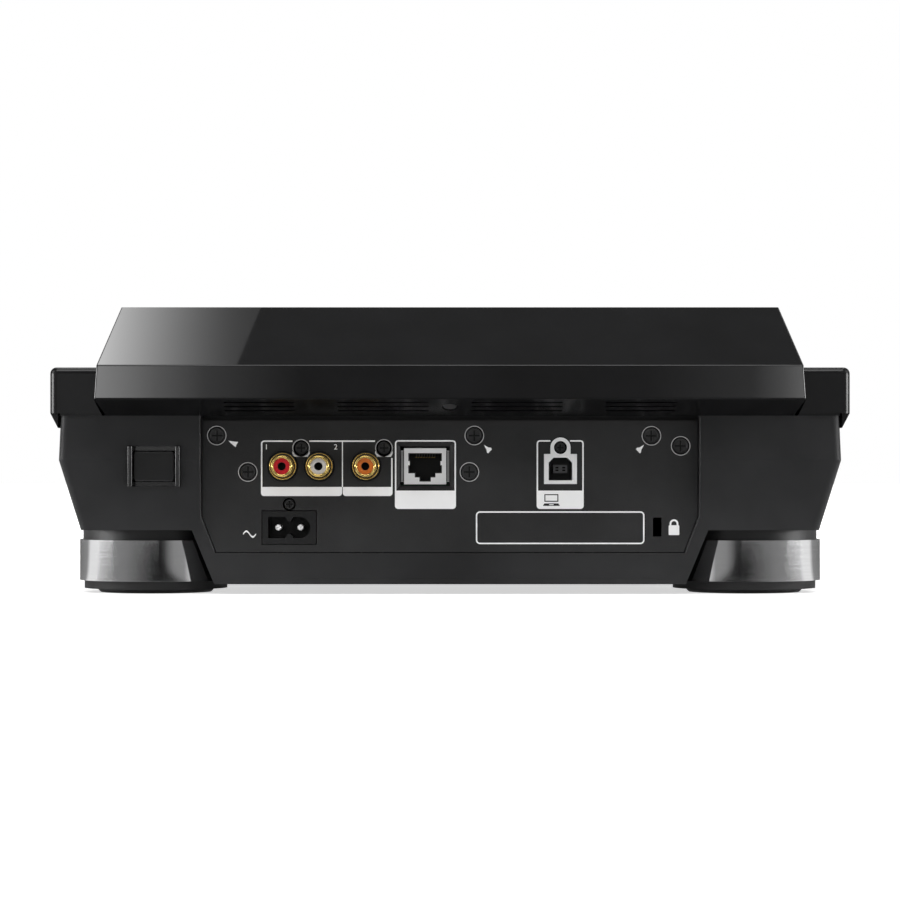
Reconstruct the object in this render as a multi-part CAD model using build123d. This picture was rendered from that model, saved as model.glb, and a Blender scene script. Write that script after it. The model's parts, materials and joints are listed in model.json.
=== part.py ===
from build123d import *
import math
import os

# Desktop music player for club use, built as an assembly of separate pieces.
# Units are millimetres. +Z is up, +Y points to the rear jack panel and +X is the user's right.
# The origin is on the table, under the middle of the whole object.

# Overall sizes
DECK_WIDTH = 308.1
OVERALL_DEPTH = 388.0
CASE_WALL = 3.0
FIT_GAP = 0.3
RUNNING_GAP = 0.05

# Feet from the table up: rubber pad, metal ring around a plastic core, plastic collar
PAD_TREAD_RADIUS = 22.7
PAD_TREAD_HEIGHT = 1.6
PAD_FLANGE_RADIUS = 28.2
PAD_FLANGE_HEIGHT = 3.2
RING_RADIUS = 30.0
RING_HEIGHT = 16.0
RING_WALL = 3.0
COLLAR_RADIUS = 28.7
COLLAR_HEIGHT = 4.1
FOOT_SIDE_INSET = 26.3
FOOT_REAR_INSET = 39.0
FOOT_FRONT_INSET = 46.0
FOOT_WELL_GAP = 2.0

# Lower case: a tub with leaning walls and a narrower keel between the feet
CASE_SIDE_INSET = 3.2
CASE_TOP_DRAFT = 0.8
CASE_LOWER_DRAFT = 8.0
CASE_FRONT_INSET = 3.0
CREASE_RISE = 27.1
UPPER_WALL_HEIGHT = 17.1
FRONT_LEAN = 8.0
CASE_CORNER_RADIUS = 3.0
KEEL_DEPTH = 21.0
KEEL_FOOT_OVERLAP = 16.8
KEEL_SIDE_DRAFT = 8.4
BOSS_RADIUS = 4.0

# Rear jack panel, set into the rear of the case
PANEL_SIDE_MARGIN = 58.0
PANEL_SLANT = 5.4
PANEL_TOP_GAP = 1.8
PANEL_RECESS = 6.0
PANEL_DROP = 35.9
PANEL_SHOULDER_DROP = 21.8
PANEL_THICKNESS = 3.0
PANEL_EDGE_CHAMFER = 0.4

# Jacks: heights are drops below the crease of the case, insets are from the +X edge of the jack panel
JACK_ROW_DROP = 2.4
RCA_INSET = 31.4
RCA_PITCH = 14.1
RCA_GROUP_GAP = 18.0
RCA_SLEEVE_RADIUS = 4.15
RCA_SLEEVE_WALL = 1.0
RCA_SLEEVE_LENGTH = 9.0
RCA_FLANGE_RADIUS = 4.95
RCA_FLANGE_THICKNESS = 1.2
RCA_PIN_BORE_RADIUS = 1.6
RCA_BOSS_RADIUS = 5.6
RCA_BOSS_PROUD = 0.5
RCA_BLOCK_MARGIN = 9.0
RCA_BLOCK_RISE = 2.6
RCA_BLOCK_DEPTH = 16.0
RCA_INSERT_SINK = 0.6
RCA_BORE_FLOOR = 1.5
LINK_PITCH = 22.9
LINK_SINK = 2.0
LINK_WIDTH = 16.3
LINK_HEIGHT = 14.0
LINK_DEPTH = 18.0
LINK_SIDE_MARGIN = 1.5
LINK_END_MARGIN = 0.7
LINK_BEVEL = 1.5
JACK_WINDOW_MARGIN = 1.0
LINK_TAB_WIDTH = 1.2
LINK_TAB_HEIGHT = 12.0
LINK_TAB_LENGTH = 0.7
LINK_BACK_WALL = 1.0
LINK_PORT_WIDTH = 12.4
LINK_PORT_HEIGHT = 7.2
LINK_STEP_WIDTH = 7.4
LINK_STEP_HEIGHT = 1.6
LINK_LATCH_WIDTH = 3.8
LINK_LATCH_HEIGHT = 1.6
LINK_PORT_DEPTH = 14.0
LINK_CONTACT_COUNT = 8
LINK_CONTACT_PITCH = 1.02
LINK_CONTACT_DROP = 1.2
LINK_PORT_SINK = 2.2
USB_DROP = 1.05
USB_PLATE_WIDTH = 12.7
USB_PLATE_HEIGHT = 11.6
USB_PLATE_THICKNESS = 0.8
USB_PORT_WIDTH = 9.1
USB_PORT_HEIGHT = 8.8
USB_PORT_CHAMFER = 1.9
USB_SHELL_WALL = 0.6
USB_DEPTH = 16.0
USB_TAB_RADIUS = 3.9
USB_TAB_RISE = 8.3
USB_TONGUE_WIDTH = 5.4
USB_TONGUE_HEIGHT = 3.3
USB_TONGUE_SINK = 1.0
AC_BOARD_INSET = 18.35
AC_DROP = 26.1
AC_WIDTH = 20.7
AC_HEIGHT = 12.7
AC_DEPTH = 18.0
AC_CAVITY_WIDTH = 16.3
AC_CAVITY_HEIGHT = 8.2
AC_CAVITY_DEPTH = 12.0
AC_WAIST = 1.7
AC_WAIST_WIDTH = 3.2
AC_WAIST_TIP = 1.0
AC_PIN_SPACING = 8.6
AC_PIN_RADIUS = 1.2
AC_PIN_LENGTH = 10.0
LOCK_INSET = 15.9
LOCK_DROP = 25.9
LOCK_WIDTH = 3.4
LOCK_HEIGHT = 7.4

# Recessed cross-head screws of the jack panel: distance from its +X edge, the network jack or its -X edge,
# and drop below the crease
LEFT_SCREWS = [(5.8, -9.5), (17.8, 4.6)]
LINK_SCREWS = [(19.0, -9.5), (17.1, 4.6)]
RIGHT_SCREWS = [(18.1, -9.4), (6.8, -5.5)]
RCA_SCREW_OFFSET = 7.0
RCA_SCREW_DROP = -4.7
AC_SCREW_DROP = 17.1
SCREW_WELL_RADIUS = 3.6
SMALL_WELL_RADIUS = 3.0
USB_WELL_RADIUS = 2.5
SCREW_HEAD_GAP = 0.5
SCREW_HEAD_HEIGHT = 1.4
SCREW_RADIUS = 1.2
SCREW_LENGTH = 6.0
CROSS_WIDTH = 0.7
CROSS_SHARE = 0.7
CROSS_DEPTH = 0.6
PANEL_SCREW_WEB = 0.8
PANEL_SCREW_HEAD = 0.9

# Power button on the rear, between two guard ribs
POWER_PANEL_GAP = 17.8
POWER_WIDTH = 15.8
POWER_HEIGHT = 11.5
POWER_LENGTH = 14.0
POWER_TRAVEL = 2.5
POWER_PROUD = 0.6
GUARD_RIB = 1.9
GUARD_RIM = 1.8
GUARD_PROUD = 3.0
GUARD_DEPTH = 12.0
GUARD_SINK = 3.0
SWITCH_BODY_DEPTH = 18.0
SWITCH_PLUNGER_RADIUS = 2.0

# Top deck
DECK_HEIGHT = 18.6
DECK_PLATE = 3.0
DECK_SKIRT_GAP = 0.9
DECK_LIP_DROP = 5.6
DECK_LEDGE_HEIGHT = 4.0
DECK_CORNER_RADIUS = 3.0
DECK_EDGE_RADIUS = 2.4
EAR_LIP = 1.0
HOOD_NOTCH_DEPTH = 30.0
HOOD_RIM = 9.0
POST_RADIUS = 3.0

# Screen hood, a faceted shell on the rear of the deck
EAR_WIDTH = 18.5
HOOD_GAP = 1.4
HOOD_OVERHANG = 14.0
HOOD_FACET_RISE = 6.2
HOOD_FACET_TAPER = 3.1
HOOD_BAND_HEIGHT = 12.8
HOOD_BAND_TAPER = 0.9
HOOD_PEAK_RISE = 23.9
HOOD_PEAK_TAPER = 6.6
HOOD_EDGE_RADIUS = 0.6
HOOD_PANEL_RUN = 39.0
HOOD_LIP = 1.0
HOOD_WALL = 2.5
VENT_LENGTHS = (35.0, 27.0)
VENT_CENTRES = (25.6, 73.0)
VENT_WIDTH = 1.3
VENT_PITCH = 3.7
VENT_ROWS = 3
VENT_OFFSET = 0.6

# Display
GLASS_SIDE_MARGIN = 51.5
GLASS_END_MARGIN = 9.2
GLASS_SHIFT = 1.5
GLASS_THICKNESS = 1.5
GLASS_LEDGE = 5.0
MODULE_THICKNESS = 5.0

# Keys of the deck and hood
KEY_TRAVEL = 1.2
KEY_RISE = 1.6
KEY_DEPTH = 9.5
HOOD_KEY_WIDTH = 28.0
KEY_CORNER_RADIUS = 1.2
KEY_EDGE_RADIUS = 0.5
KEY_FLANGE = 1.2
KEY_FLANGE_THICKNESS = 1.5
KEY_STEM_RADIUS = 2.0
KEY_STEM_LENGTH = 2.0
KEY_GAP = 4.0
COLUMN_WIDTH = 56.0
COLUMN_MARGIN = 7.0
FUNCTION_ROW_DEPTH = 25.0
TACT_HEIGHT = 3.0
TACT_SIZE = 6.0
TACT_GAP = 0.3
BOARD_THICKNESS = 1.6
HOT_CUE_COUNT = 4
HOT_CUE_WIDTH = 24.0
PLAY_ROW_GAP = 7.0
PLAY_SIDE_GAP = 3.5
PLAY_RISE = 2.6
PLAY_FRONT_MARGIN = 34.0
CUE_SHARE = 0.252
SEARCH_SHARE = 0.504
TRACK_SHARE = 0.63
LEVER_SHARE = 0.819

# Jog wheel, turning on a fixed spindle that carries the centre display
JOG_FRONT_MARGIN = 16.0
JOG_ROOM_SHARE = 0.6364
JOG_LIFT = 0.6
JOG_RIM_HEIGHT = 6.0
JOG_TOP_HEIGHT = 11.5
JOG_RIM_SHARE = 0.0816
JOG_RIM_WALL = 6.0
JOG_LEDGE_SHARE = 0.0561
JOG_WEB = 2.5
JOG_PLATE_THICKNESS = 1.6
JOG_PLATE_SINK = 0.5
JOG_TOUCH_TRAVEL = 0.5
JOG_TOUCH_GAP = 0.2
JOG_RADIAL_GAP = 0.5
JOG_DISPLAY_SHARE = 0.311
JOG_HUB_WALL = 6.0
JOG_LIP = 1.0
JOG_DIMPLES = 30
JOG_DIMPLE_RADIUS = 9.0
JOG_DIMPLE_DEPTH = 0.9
SPINDLE_RADIUS = 14.0
SPINDLE_BASE_RADIUS = 66.0
SPINDLE_BASE_THICKNESS = 3.0
SPINDLE_SHOULDER = 2.0
BEARING_WALL = 4.0
BEARING_HEIGHT = 6.5
JOG_WELL_RADIUS = 58.0

# Tempo slider
TEMPO_SHARE = 0.641
TEMPO_CAP_WIDTH = 24.0
TEMPO_CAP_LENGTH = 13.0
TEMPO_CAP_HEIGHT = 9.0
TEMPO_GROOVE = 1.2
TEMPO_STEM_WIDTH = 3.0
TEMPO_STEM_LENGTH = 8.0
TEMPO_SIDE_GAP = 0.5
TEMPO_END_GAP = 1.0
FADER_WALL = 4.0
FADER_TOP_GAP = 1.5
FADER_FLOOR = 1.5
FADER_STEM_GAP = 0.8

# Knobs and lever
BROWSE_RADIUS = 13.0
BROWSE_HEIGHT = 10.0
FEEL_RADIUS = 9.0
FEEL_HEIGHT = 10.0
KNOB_SHAFT_RADIUS = 3.0
KNOB_LIFT = 0.5
KNOB_EDGE_RADIUS = 1.0
POT_SIZE = 13.0
POT_TOP_GAP = 1.5
POT_FLOOR = 1.0
LEVER_WIDTH = 6.0
LEVER_THICKNESS = 4.0
LEVER_RISE = 12.0
LEVER_PIVOT_DEPTH = 6.0
LEVER_PIN_RADIUS = 1.5
LEVER_SWING_DEG = 14.0
LEVER_EAR = 2.5
LEVER_EAR_GAP = 0.5
LEVER_EAR_TOP = 2.5

# Places up the screen slope, as shares of its length
BROWSE_SHARE = 0.45
LOWER_KEY_SHARE = 0.30
UPPER_KEY_SHARE = 0.47
DRIVE_SHARE = 0.78
HOOD_BOARD_END = 1.0

# Drive socket on the hood
DRIVE_WIDTH = 13.2
DRIVE_HEIGHT = 5.8
DRIVE_WALL = 0.5
DRIVE_TONGUE = 1.8
DRIVE_SINK = 0.4
DRIVE_FLOOR = 1.5
DRIVE_TONGUE_SINK = 1.8

# Boards inside the case
MAIN_BOARD_LENGTH = 98.0
MAIN_BOARD_USB_SIDE = 17.4
MAIN_BOARD_SIDE_GAP = 6.0
MAIN_BOARD_REAR_GAP = 1.0
SUPPLY_BOARD_LENGTH = 88.0
SUPPLY_BOARD_WIDTH = 57.0
TRANSFORMER_SIZE = (24.0, 28.0, 17.0)
CAPACITOR_RADIUS = 8.0
CAPACITOR_HEIGHT = 18.0
CHIP_SIZE = (28.0, 28.0, 2.4)
BOARD_HOLE_INSET = 8.0
CORNER_SCREW_INSET = 5.5
CORNER_SCREW_RUN = 54.0
CORNER_SCREW_HEAD = 3.2

# Levels above the table
pad_top = PAD_TREAD_HEIGHT + PAD_FLANGE_HEIGHT
ring_top = pad_top + RING_HEIGHT
case_bottom = ring_top + COLLAR_HEIGHT
keel_bottom = case_bottom - KEEL_DEPTH
crease = case_bottom + CREASE_RISE
case_top = crease + UPPER_WALL_HEIGHT
case_floor = case_bottom + CASE_WALL
keel_floor = keel_bottom + CASE_WALL
deck_top = case_top + DECK_HEIGHT
deck_under = deck_top - DECK_PLATE
skirt_bottom = case_top + DECK_SKIRT_GAP
facet_top = case_top + HOOD_FACET_RISE
band_top = facet_top + HOOD_BAND_HEIGHT
peak = band_top + HOOD_PEAK_RISE
panel_bottom = crease - PANEL_DROP
panel_shoulder = crease - PANEL_SHOULDER_DROP
jack_row = crease - JACK_ROW_DROP
usb_row = jack_row - USB_DROP
power_row = jack_row
ac_row = crease - AC_DROP
lock_row = crease - LOCK_DROP

# Stations from front to rear
rear = OVERALL_DEPTH / 2
front = -OVERALL_DEPTH / 2
case_rear = rear - HOOD_OVERHANG
case_front = front + CASE_FRONT_INSET
ear_rear = case_rear + EAR_LIP
panel_face = case_rear - PANEL_RECESS
pocket_floor = panel_face - PANEL_THICKNESS
screw_seat = pocket_floor + PANEL_SCREW_WEB
cavity_rear = pocket_floor - CASE_WALL
notch_front = case_rear - HOOD_NOTCH_DEPTH
peak_y = rear - HOOD_PANEL_RUN
foot_rear_y = case_rear - FOOT_REAR_INSET
foot_front_y = case_front + FOOT_FRONT_INSET

# The wheel and the screen share the depth between the front margin and the hood's peak
jog_front = front + JOG_FRONT_MARGIN
jog_depth = (peak_y - FUNCTION_ROW_DEPTH - jog_front) * JOG_ROOM_SHARE
hood_front = jog_front + jog_depth + FUNCTION_ROW_DEPTH
screen_run = peak_y - hood_front

# Half widths
deck_half = DECK_WIDTH / 2
crease_half = deck_half - CASE_SIDE_INSET
case_top_half = crease_half - CASE_TOP_DRAFT
case_bottom_half = crease_half - CASE_LOWER_DRAFT
hood_half = deck_half - EAR_WIDTH
foot_x = case_bottom_half - FOOT_SIDE_INSET
keel_top_half = foot_x - KEEL_FOOT_OVERLAP
keel_bottom_half = keel_top_half - KEEL_SIDE_DRAFT
FEET = [(sx * foot_x, y) for sx in (-1, 1) for y in (foot_rear_y, foot_front_y)]

# Places across the jack panel
panel_half = deck_half - PANEL_SIDE_MARGIN
rca_red_x = panel_half - RCA_INSET
rca_white_x = rca_red_x - RCA_PITCH
rca_orange_x = rca_white_x - RCA_GROUP_GAP
link_x = rca_orange_x - LINK_PITCH
lock_x = LOCK_INSET - panel_half
power_x = panel_half + POWER_PANEL_GAP
PANEL_SCREWS = [(panel_half - inset, drop) for inset, drop in LEFT_SCREWS]
PANEL_SCREWS += [(link_x - offset, drop) for offset, drop in LINK_SCREWS]
PANEL_SCREWS += [(inset - panel_half, drop) for inset, drop in RIGHT_SCREWS]
usb_x = (PANEL_SCREWS[3][0] + PANEL_SCREWS[4][0]) / 2
supply_board_right = foot_x - RING_RADIUS - FOOT_WELL_GAP - CASE_WALL - MAIN_BOARD_REAR_GAP
ac_x = supply_board_right - AC_BOARD_INSET

# Key layout: two columns beside the jog wheel, one row behind it
column_half = COLUMN_WIDTH / 2 - COLUMN_MARGIN
column_x = deck_half - COLUMN_WIDTH / 2
key_width = column_half - KEY_GAP / 2
key_pitch = key_width + KEY_GAP
function_row_y = hood_front - FUNCTION_ROW_DEPTH / 2
play_y = front + PLAY_FRONT_MARGIN
row_run = function_row_y - play_y
cue_y = play_y + row_run * CUE_SHARE
search_y = play_y + row_run * SEARCH_SHARE
track_y = play_y + row_run * TRACK_SHARE
lever_y = play_y + row_run * LEVER_SHARE
feel_y = lever_y
play_radius = min((cue_y - play_y) / 2 - PLAY_ROW_GAP, column_half - PLAY_SIDE_GAP)
tempo_travel = (feel_y - play_y) * TEMPO_SHARE
tempo_y = play_y + tempo_travel / 2 + TEMPO_CAP_LENGTH / 2
cue_pitch = HOT_CUE_WIDTH + KEY_GAP

# The wheel fills the deck between its columns, or between the front margin and the function row
jog_width = 2 * (deck_half - COLUMN_WIDTH)
jog_radius = min(jog_width, jog_depth) / 2
jog_y = jog_front + jog_depth / 2
jog_rim_run = jog_radius * JOG_RIM_SHARE
jog_rim_ledge = jog_radius * JOG_LEDGE_SHARE
jog_display_radius = jog_radius * JOG_DISPLAY_SHARE

# Depths below the outer face of the plate that a key passes through
flange_bottom = FIT_GAP + KEY_FLANGE_THICKNESS
stem_bottom = flange_bottom + KEY_STEM_LENGTH
tact_top = stem_bottom + KEY_TRAVEL + TACT_GAP
board_depth = tact_top + TACT_HEIGHT
deck_board_top = deck_under - board_depth

# Slope of the screen face, as a plane with Y running up the slope
slope_foot = deck_top + HOOD_LIP
slope_angle = math.atan2(peak - slope_foot, screen_run)
slope_length = math.hypot(peak - slope_foot, screen_run)
SLOPE = Plane(
    origin=(0, hood_front, slope_foot),
    x_dir=(1, 0, 0),
    z_dir=(0, -math.sin(slope_angle), math.cos(slope_angle)),
)
glass_width = 2 * (hood_half - GLASS_SIDE_MARGIN)
glass_length = slope_length - 2 * GLASS_END_MARGIN
glass_v = slope_length / 2 + GLASS_SHIFT
side_u = (glass_width / 2 + hood_half - HOOD_RIM) / 2
side_width = hood_half - HOOD_RIM - glass_width / 2 - COLUMN_MARGIN
browse_v = slope_length * BROWSE_SHARE
lower_key_v = slope_length * LOWER_KEY_SHARE
upper_key_v = slope_length * UPPER_KEY_SHARE
drive_v = slope_length * DRIVE_SHARE

MIDDLE = (Align.CENTER, Align.CENTER, Align.MIN)


def block(x_range, y_range, z_range):
    """Box between two corners."""
    spans = (x_range, y_range, z_range)
    centre = [(low + high) / 2 for low, high in spans]
    return Pos(*centre) * Box(*[high - low for low, high in spans])


def rod_z(x, y, radius, low, high):
    """Upright cylinder."""
    return Pos(x, y, low) * Cylinder(radius, high - low, align=MIDDLE)


def rod_y(x, z, radius, low, high):
    """Cylinder along the depth of the object."""
    return Pos(x, low, z) * Rot(-90, 0, 0) * Cylinder(radius, high - low, align=MIDDLE)


def rod_x(y, z, radius, low, high):
    """Cylinder along the width of the object."""
    return Pos(low, y, z) * Rot(0, 90, 0) * Cylinder(radius, high - low, align=MIDDLE)


def along_y(sketch, low, high):
    """Sketch drawn in X and Z, swept along the depth."""
    return extrude(Pos(0, high, 0) * (Plane.XZ * sketch), high - low, dir=(0, -1, 0))


def across_x(sketch, half_width):
    """Sketch drawn in Y and Z, swept to both sides of the middle."""
    return extrude(Plane.YZ * sketch, half_width, both=True)


def mirrored(half_points):
    """Closed outline, the same on both sides of X = 0, from the points of its +X half."""
    other_half = [(-x, z) for x, z in reversed(half_points)]
    return Polygon(*half_points, *other_half, align=None)


def case_rear_at(z):
    """Rear face of the case at a height below the crease, where it leans in to meet the jack panel."""
    return case_rear - PANEL_RECESS * (crease - z) / PANEL_DROP


def case_front_at(z):
    """Front face of the case at a height below the crease."""
    return case_front + FRONT_LEAN * (crease - z) / CREASE_RISE


def case_half_at(z):
    """Half width of the case at a height below the crease."""
    return crease_half - CASE_LOWER_DRAFT * (crease - z) / CREASE_RISE


def panel_outline(top, inset):
    """Outline of the jack panel's recess, drawn in by a gap."""
    return mirrored(
        [
            (panel_half - PANEL_SLANT - inset, panel_bottom + inset),
            (panel_half - inset, panel_shoulder),
            (panel_half - inset, top),
        ]
    )


def hood_section(grow):
    """Cross outline of the hood, grown by a gap."""
    return mirrored(
        [
            (hood_half - HOOD_FACET_TAPER + grow, case_top),
            (hood_half + grow, facet_top),
            (hood_half - HOOD_BAND_TAPER + grow, band_top),
            (hood_half - HOOD_PEAK_TAPER + grow, peak),
        ]
    )


def hood_profile():
    """Side outline of the hood: screen slope, rear panel, band and vent facet."""
    return Polygon(
        (hood_front, deck_top),
        (notch_front, deck_top),
        (notch_front, case_top),
        (case_rear, case_top),
        (rear, facet_top),
        (rear, band_top),
        (peak_y, peak),
        (hood_front, slope_foot),
        align=None,
    )


# Lower case
def keel_solid(inset, low, high):
    """Keel between two levels, drawn in by a wall."""
    slices = []
    for level in (low, high):
        share = (case_bottom - level) / KEEL_DEPTH
        half = keel_top_half - KEEL_SIDE_DRAFT * share - inset
        keel_front, keel_rear = case_front_at(level) + inset, case_rear_at(level) - inset
        outline = mirrored([(half, keel_front), (half, keel_rear)])
        slices.append(Pos(0, 0, level) * outline)
    return loft(slices, ruled=True)


def foot_wells(radius, low, high):
    """Round wells that the keel leaves for the feet."""
    wells = Part()
    for x, y in FEET:
        wells += rod_z(x, y, radius, low, high)
    return wells


def tub_solid():
    """Outer block of the tub, with rounded corners."""
    section = mirrored(
        [(case_bottom_half, case_bottom), (crease_half, crease), (case_top_half, case_top)]
    )
    profile = Polygon(
        (case_rear_at(case_bottom), case_bottom),
        (case_rear, crease),
        (case_rear, case_top),
        (case_front, case_top),
        (case_front, crease),
        (case_front_at(case_bottom), case_bottom),
        align=None,
    )
    tub = along_y(section, case_front, case_rear) & across_x(profile, crease_half)
    corners = [e for e in tub.edges() if abs(e.tangent_at(0.5).Z) > 0.5]
    return fillet(corners, CASE_CORNER_RADIUS)


def tub_cavity():
    """Hollow of the tub, open at the top."""
    over = case_top + CASE_WALL
    section = mirrored(
        [
            (case_half_at(case_floor) - CASE_WALL, case_floor),
            (crease_half - CASE_WALL, crease),
            (case_top_half - CASE_WALL, case_top),
            (case_top_half - CASE_WALL, over),
        ]
    )
    profile = Polygon(
        (cavity_rear, case_floor),
        (cavity_rear, over),
        (case_front + CASE_WALL, over),
        (case_front + CASE_WALL, crease),
        (case_front_at(case_floor) + CASE_WALL, case_floor),
        align=None,
    )
    return along_y(section, front, rear) & across_x(profile, crease_half)


def board_posts():
    """Upright posts for the main board, the supply board and the corner screws."""
    posts = Part()
    for x, y in main_board_holes():
        floor = keel_floor if abs(x) < keel_bottom_half else case_floor
        posts += rod_z(x, y, BOSS_RADIUS, floor - CASE_WALL / 2, main_board_bottom)
    for x, y in supply_board_holes():
        posts += rod_z(x, y, BOSS_RADIUS, keel_floor - CASE_WALL / 2, supply_board_bottom)
    for x, y in corner_screws():
        posts += rod_z(x, y, BOSS_RADIUS, case_floor - CASE_WALL / 2, case_top)
    for x, y in FEET:
        posts += rod_z(x, y, BOSS_RADIUS, case_floor - CASE_WALL / 2, case_floor + CASE_WALL)
    return posts


def jack_windows():
    """Openings in the rear wall that the jacks reach through."""
    through = (cavity_rear - CASE_WALL, panel_face)
    low, high = main_board_top - 2 * FIT_GAP, rca_block_top + FIT_GAP
    left = link_x - LINK_WIDTH / 2 - JACK_WINDOW_MARGIN
    right = rca_red_x + RCA_BLOCK_MARGIN + JACK_WINDOW_MARGIN
    shared = block((left, right), through, (low, high))
    usb_half = USB_PORT_WIDTH / 2 + USB_SHELL_WALL + FIT_GAP
    usb_high = usb_row + USB_PORT_HEIGHT / 2 + USB_SHELL_WALL + FIT_GAP
    usb = block((usb_x - usb_half, usb_x + usb_half), through, (low, usb_high))
    ac_half = AC_WIDTH / 2 + FIT_GAP
    ac_rise = AC_HEIGHT / 2 + FIT_GAP
    ac = block((ac_x - ac_half, ac_x + ac_half), through, (ac_row - ac_rise, ac_row + ac_rise))
    lock_half, lock_rise = LOCK_WIDTH / 2, LOCK_HEIGHT / 2
    lock_span = (lock_row - lock_rise, lock_row + lock_rise)
    lock = block((lock_x - lock_half, lock_x + lock_half), through, lock_span)
    return shared + usb + ac + lock


def guard_hole():
    """Opening of the case for the power button's guard."""
    half_width = POWER_WIDTH / 2 + FIT_GAP + GUARD_RIB
    half_height = POWER_HEIGHT / 2 + FIT_GAP + GUARD_RIM
    return block(
        (power_x - half_width, power_x + half_width),
        (cavity_rear - CASE_WALL, rear),
        (power_row - half_height, power_row + half_height),
    )


def is_pocket_rim(edge):
    """True for the outer edges at the two sides of the jack panel's pocket."""
    middle, along = edge @ 0.5, edge % 0.5
    on_side = panel_half - PANEL_SLANT < abs(middle.X) < panel_half + FIT_GAP
    return on_side and middle.Y > panel_face and abs(along.Z) > abs(along.X) and panel_bottom < middle.Z


def lower_case():
    """Tub and keel in one moulding, hollow, with its pocket for the jack panel."""
    keel = keel_solid(0, keel_bottom, case_bottom) - foot_wells(RING_RADIUS + FOOT_WELL_GAP, 0, case_bottom)
    inner_keel = keel_solid(CASE_WALL, keel_floor, case_floor)
    inner_keel -= foot_wells(RING_RADIUS + FOOT_WELL_GAP + CASE_WALL, 0, case_floor)
    case = tub_solid() + keel - tub_cavity() - inner_keel
    case += board_posts()
    case -= along_y(panel_outline(case_top + CASE_WALL, 0), pocket_floor, rear)
    case = chamfer([e for e in case.edges() if is_pocket_rim(e)], PANEL_EDGE_CHAMFER)
    case -= jack_windows()
    case -= guard_hole()
    for x, z, _ in case_wall_screws():
        case -= rod_y(x, z, SCREW_RADIUS + RUNNING_GAP, cavity_rear - CASE_WALL, pocket_floor + CASE_WALL)
    for x, y in corner_screws():
        case -= rod_z(x, y, CORNER_SCREW_HEAD + FIT_GAP, 0, case_bottom + SCREW_HEAD_HEIGHT)
        case -= rod_z(x, y, SCREW_RADIUS + RUNNING_GAP, 0, case_bottom + SCREW_HEAD_HEIGHT + SCREW_LENGTH)
    for x, y in FEET:
        case -= rod_z(x, y, SCREW_RADIUS + RUNNING_GAP, 0, case_floor + 2 * CASE_WALL)
    return case


# Jack panel and its screws
def case_wall_screws():
    """Panel screws that end in the rear wall: X, Z and the radius of the well around the head."""
    wells = [(x, crease - drop, SCREW_WELL_RADIUS) for x, drop in PANEL_SCREWS]
    wells.append((ac_x, crease - AC_SCREW_DROP, USB_WELL_RADIUS))
    wells.append((usb_x, usb_row + USB_TAB_RISE, USB_WELL_RADIUS))
    return wells


def rca_screw_places():
    """X of the two screws of the phono block: one between the audio jacks, one beside the digital jack."""
    return (rca_red_x + rca_white_x) / 2, rca_orange_x - RCA_SCREW_OFFSET


def block_screws():
    """Panel screws that end in the phono block."""
    return [(x, crease - RCA_SCREW_DROP, SMALL_WELL_RADIUS) for x in rca_screw_places()]


def rear_jack_panel():
    """Flat plate with the cut-outs of all jacks, screw wells and the lock slot."""
    plate = along_y(panel_outline(case_top - PANEL_TOP_GAP, FIT_GAP), pocket_floor, panel_face)
    through = (pocket_floor - 1, panel_face + 1)
    for x in (rca_red_x, rca_white_x, rca_orange_x):
        plate -= rod_y(x, jack_row, RCA_BOSS_RADIUS + FIT_GAP, *through)
    link_width, link_height = LINK_WIDTH + 2 * LINK_SIDE_MARGIN, LINK_HEIGHT + 2 * LINK_END_MARGIN
    link = Pos(link_x, jack_row) * Rectangle(link_width, link_height)
    mouth = Pos(link_x, jack_row) * Rectangle(link_width + 2 * LINK_BEVEL, link_height + 2 * LINK_BEVEL)
    plate -= along_y(link, *through)
    plate -= extrude(Pos(0, panel_face, 0) * (Plane.XZ * mouth), LINK_BEVEL, taper=45)
    usb_width = USB_PORT_WIDTH + 2 * (USB_SHELL_WALL + FIT_GAP)
    usb_height = USB_PORT_HEIGHT + 2 * (USB_SHELL_WALL + FIT_GAP)
    plate -= along_y(Pos(usb_x, usb_row) * Rectangle(usb_width, usb_height), *through)
    plate -= along_y(Pos(ac_x, ac_row) * Rectangle(AC_WIDTH + 2 * FIT_GAP, AC_HEIGHT + 2 * FIT_GAP), *through)
    plate -= along_y(Pos(lock_x, lock_row) * Rectangle(LOCK_WIDTH, LOCK_HEIGHT), *through)
    for x, z, radius in case_wall_screws() + block_screws():
        plate -= rod_y(x, z, radius, screw_seat, panel_face + 1)
        plate -= rod_y(x, z, SCREW_RADIUS + RUNNING_GAP, *through)
    return plate


def cross_screw(x, z, head_radius):
    """Cross-head screw along the depth, its head seated on the web of a well in the panel."""
    top = screw_seat + PANEL_SCREW_HEAD
    screw = rod_y(x, z, head_radius, screw_seat, top)
    screw += rod_y(x, z, SCREW_RADIUS, screw_seat - SCREW_LENGTH, screw_seat)
    reach = head_radius * CROSS_SHARE
    for half_x, half_z in ((reach, CROSS_WIDTH / 2), (CROSS_WIDTH / 2, reach)):
        screw -= block((x - half_x, x + half_x), (top - CROSS_DEPTH, top + 1), (z - half_z, z + half_z))
    return screw


def panel_screws():
    """All screws of the jack panel, as separate solids."""
    places = case_wall_screws() + block_screws()
    return [cross_screw(x, z, radius - SCREW_HEAD_GAP) for x, z, radius in places]


# Phono jacks
main_board_top = jack_row - LINK_HEIGHT / 2
main_board_bottom = main_board_top - BOARD_THICKNESS
rca_block_top = jack_row + RCA_BOSS_RADIUS + RCA_BLOCK_RISE
rca_face = panel_face + RCA_BOSS_PROUD
rca_tip = rca_face + RCA_SLEEVE_LENGTH


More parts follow.
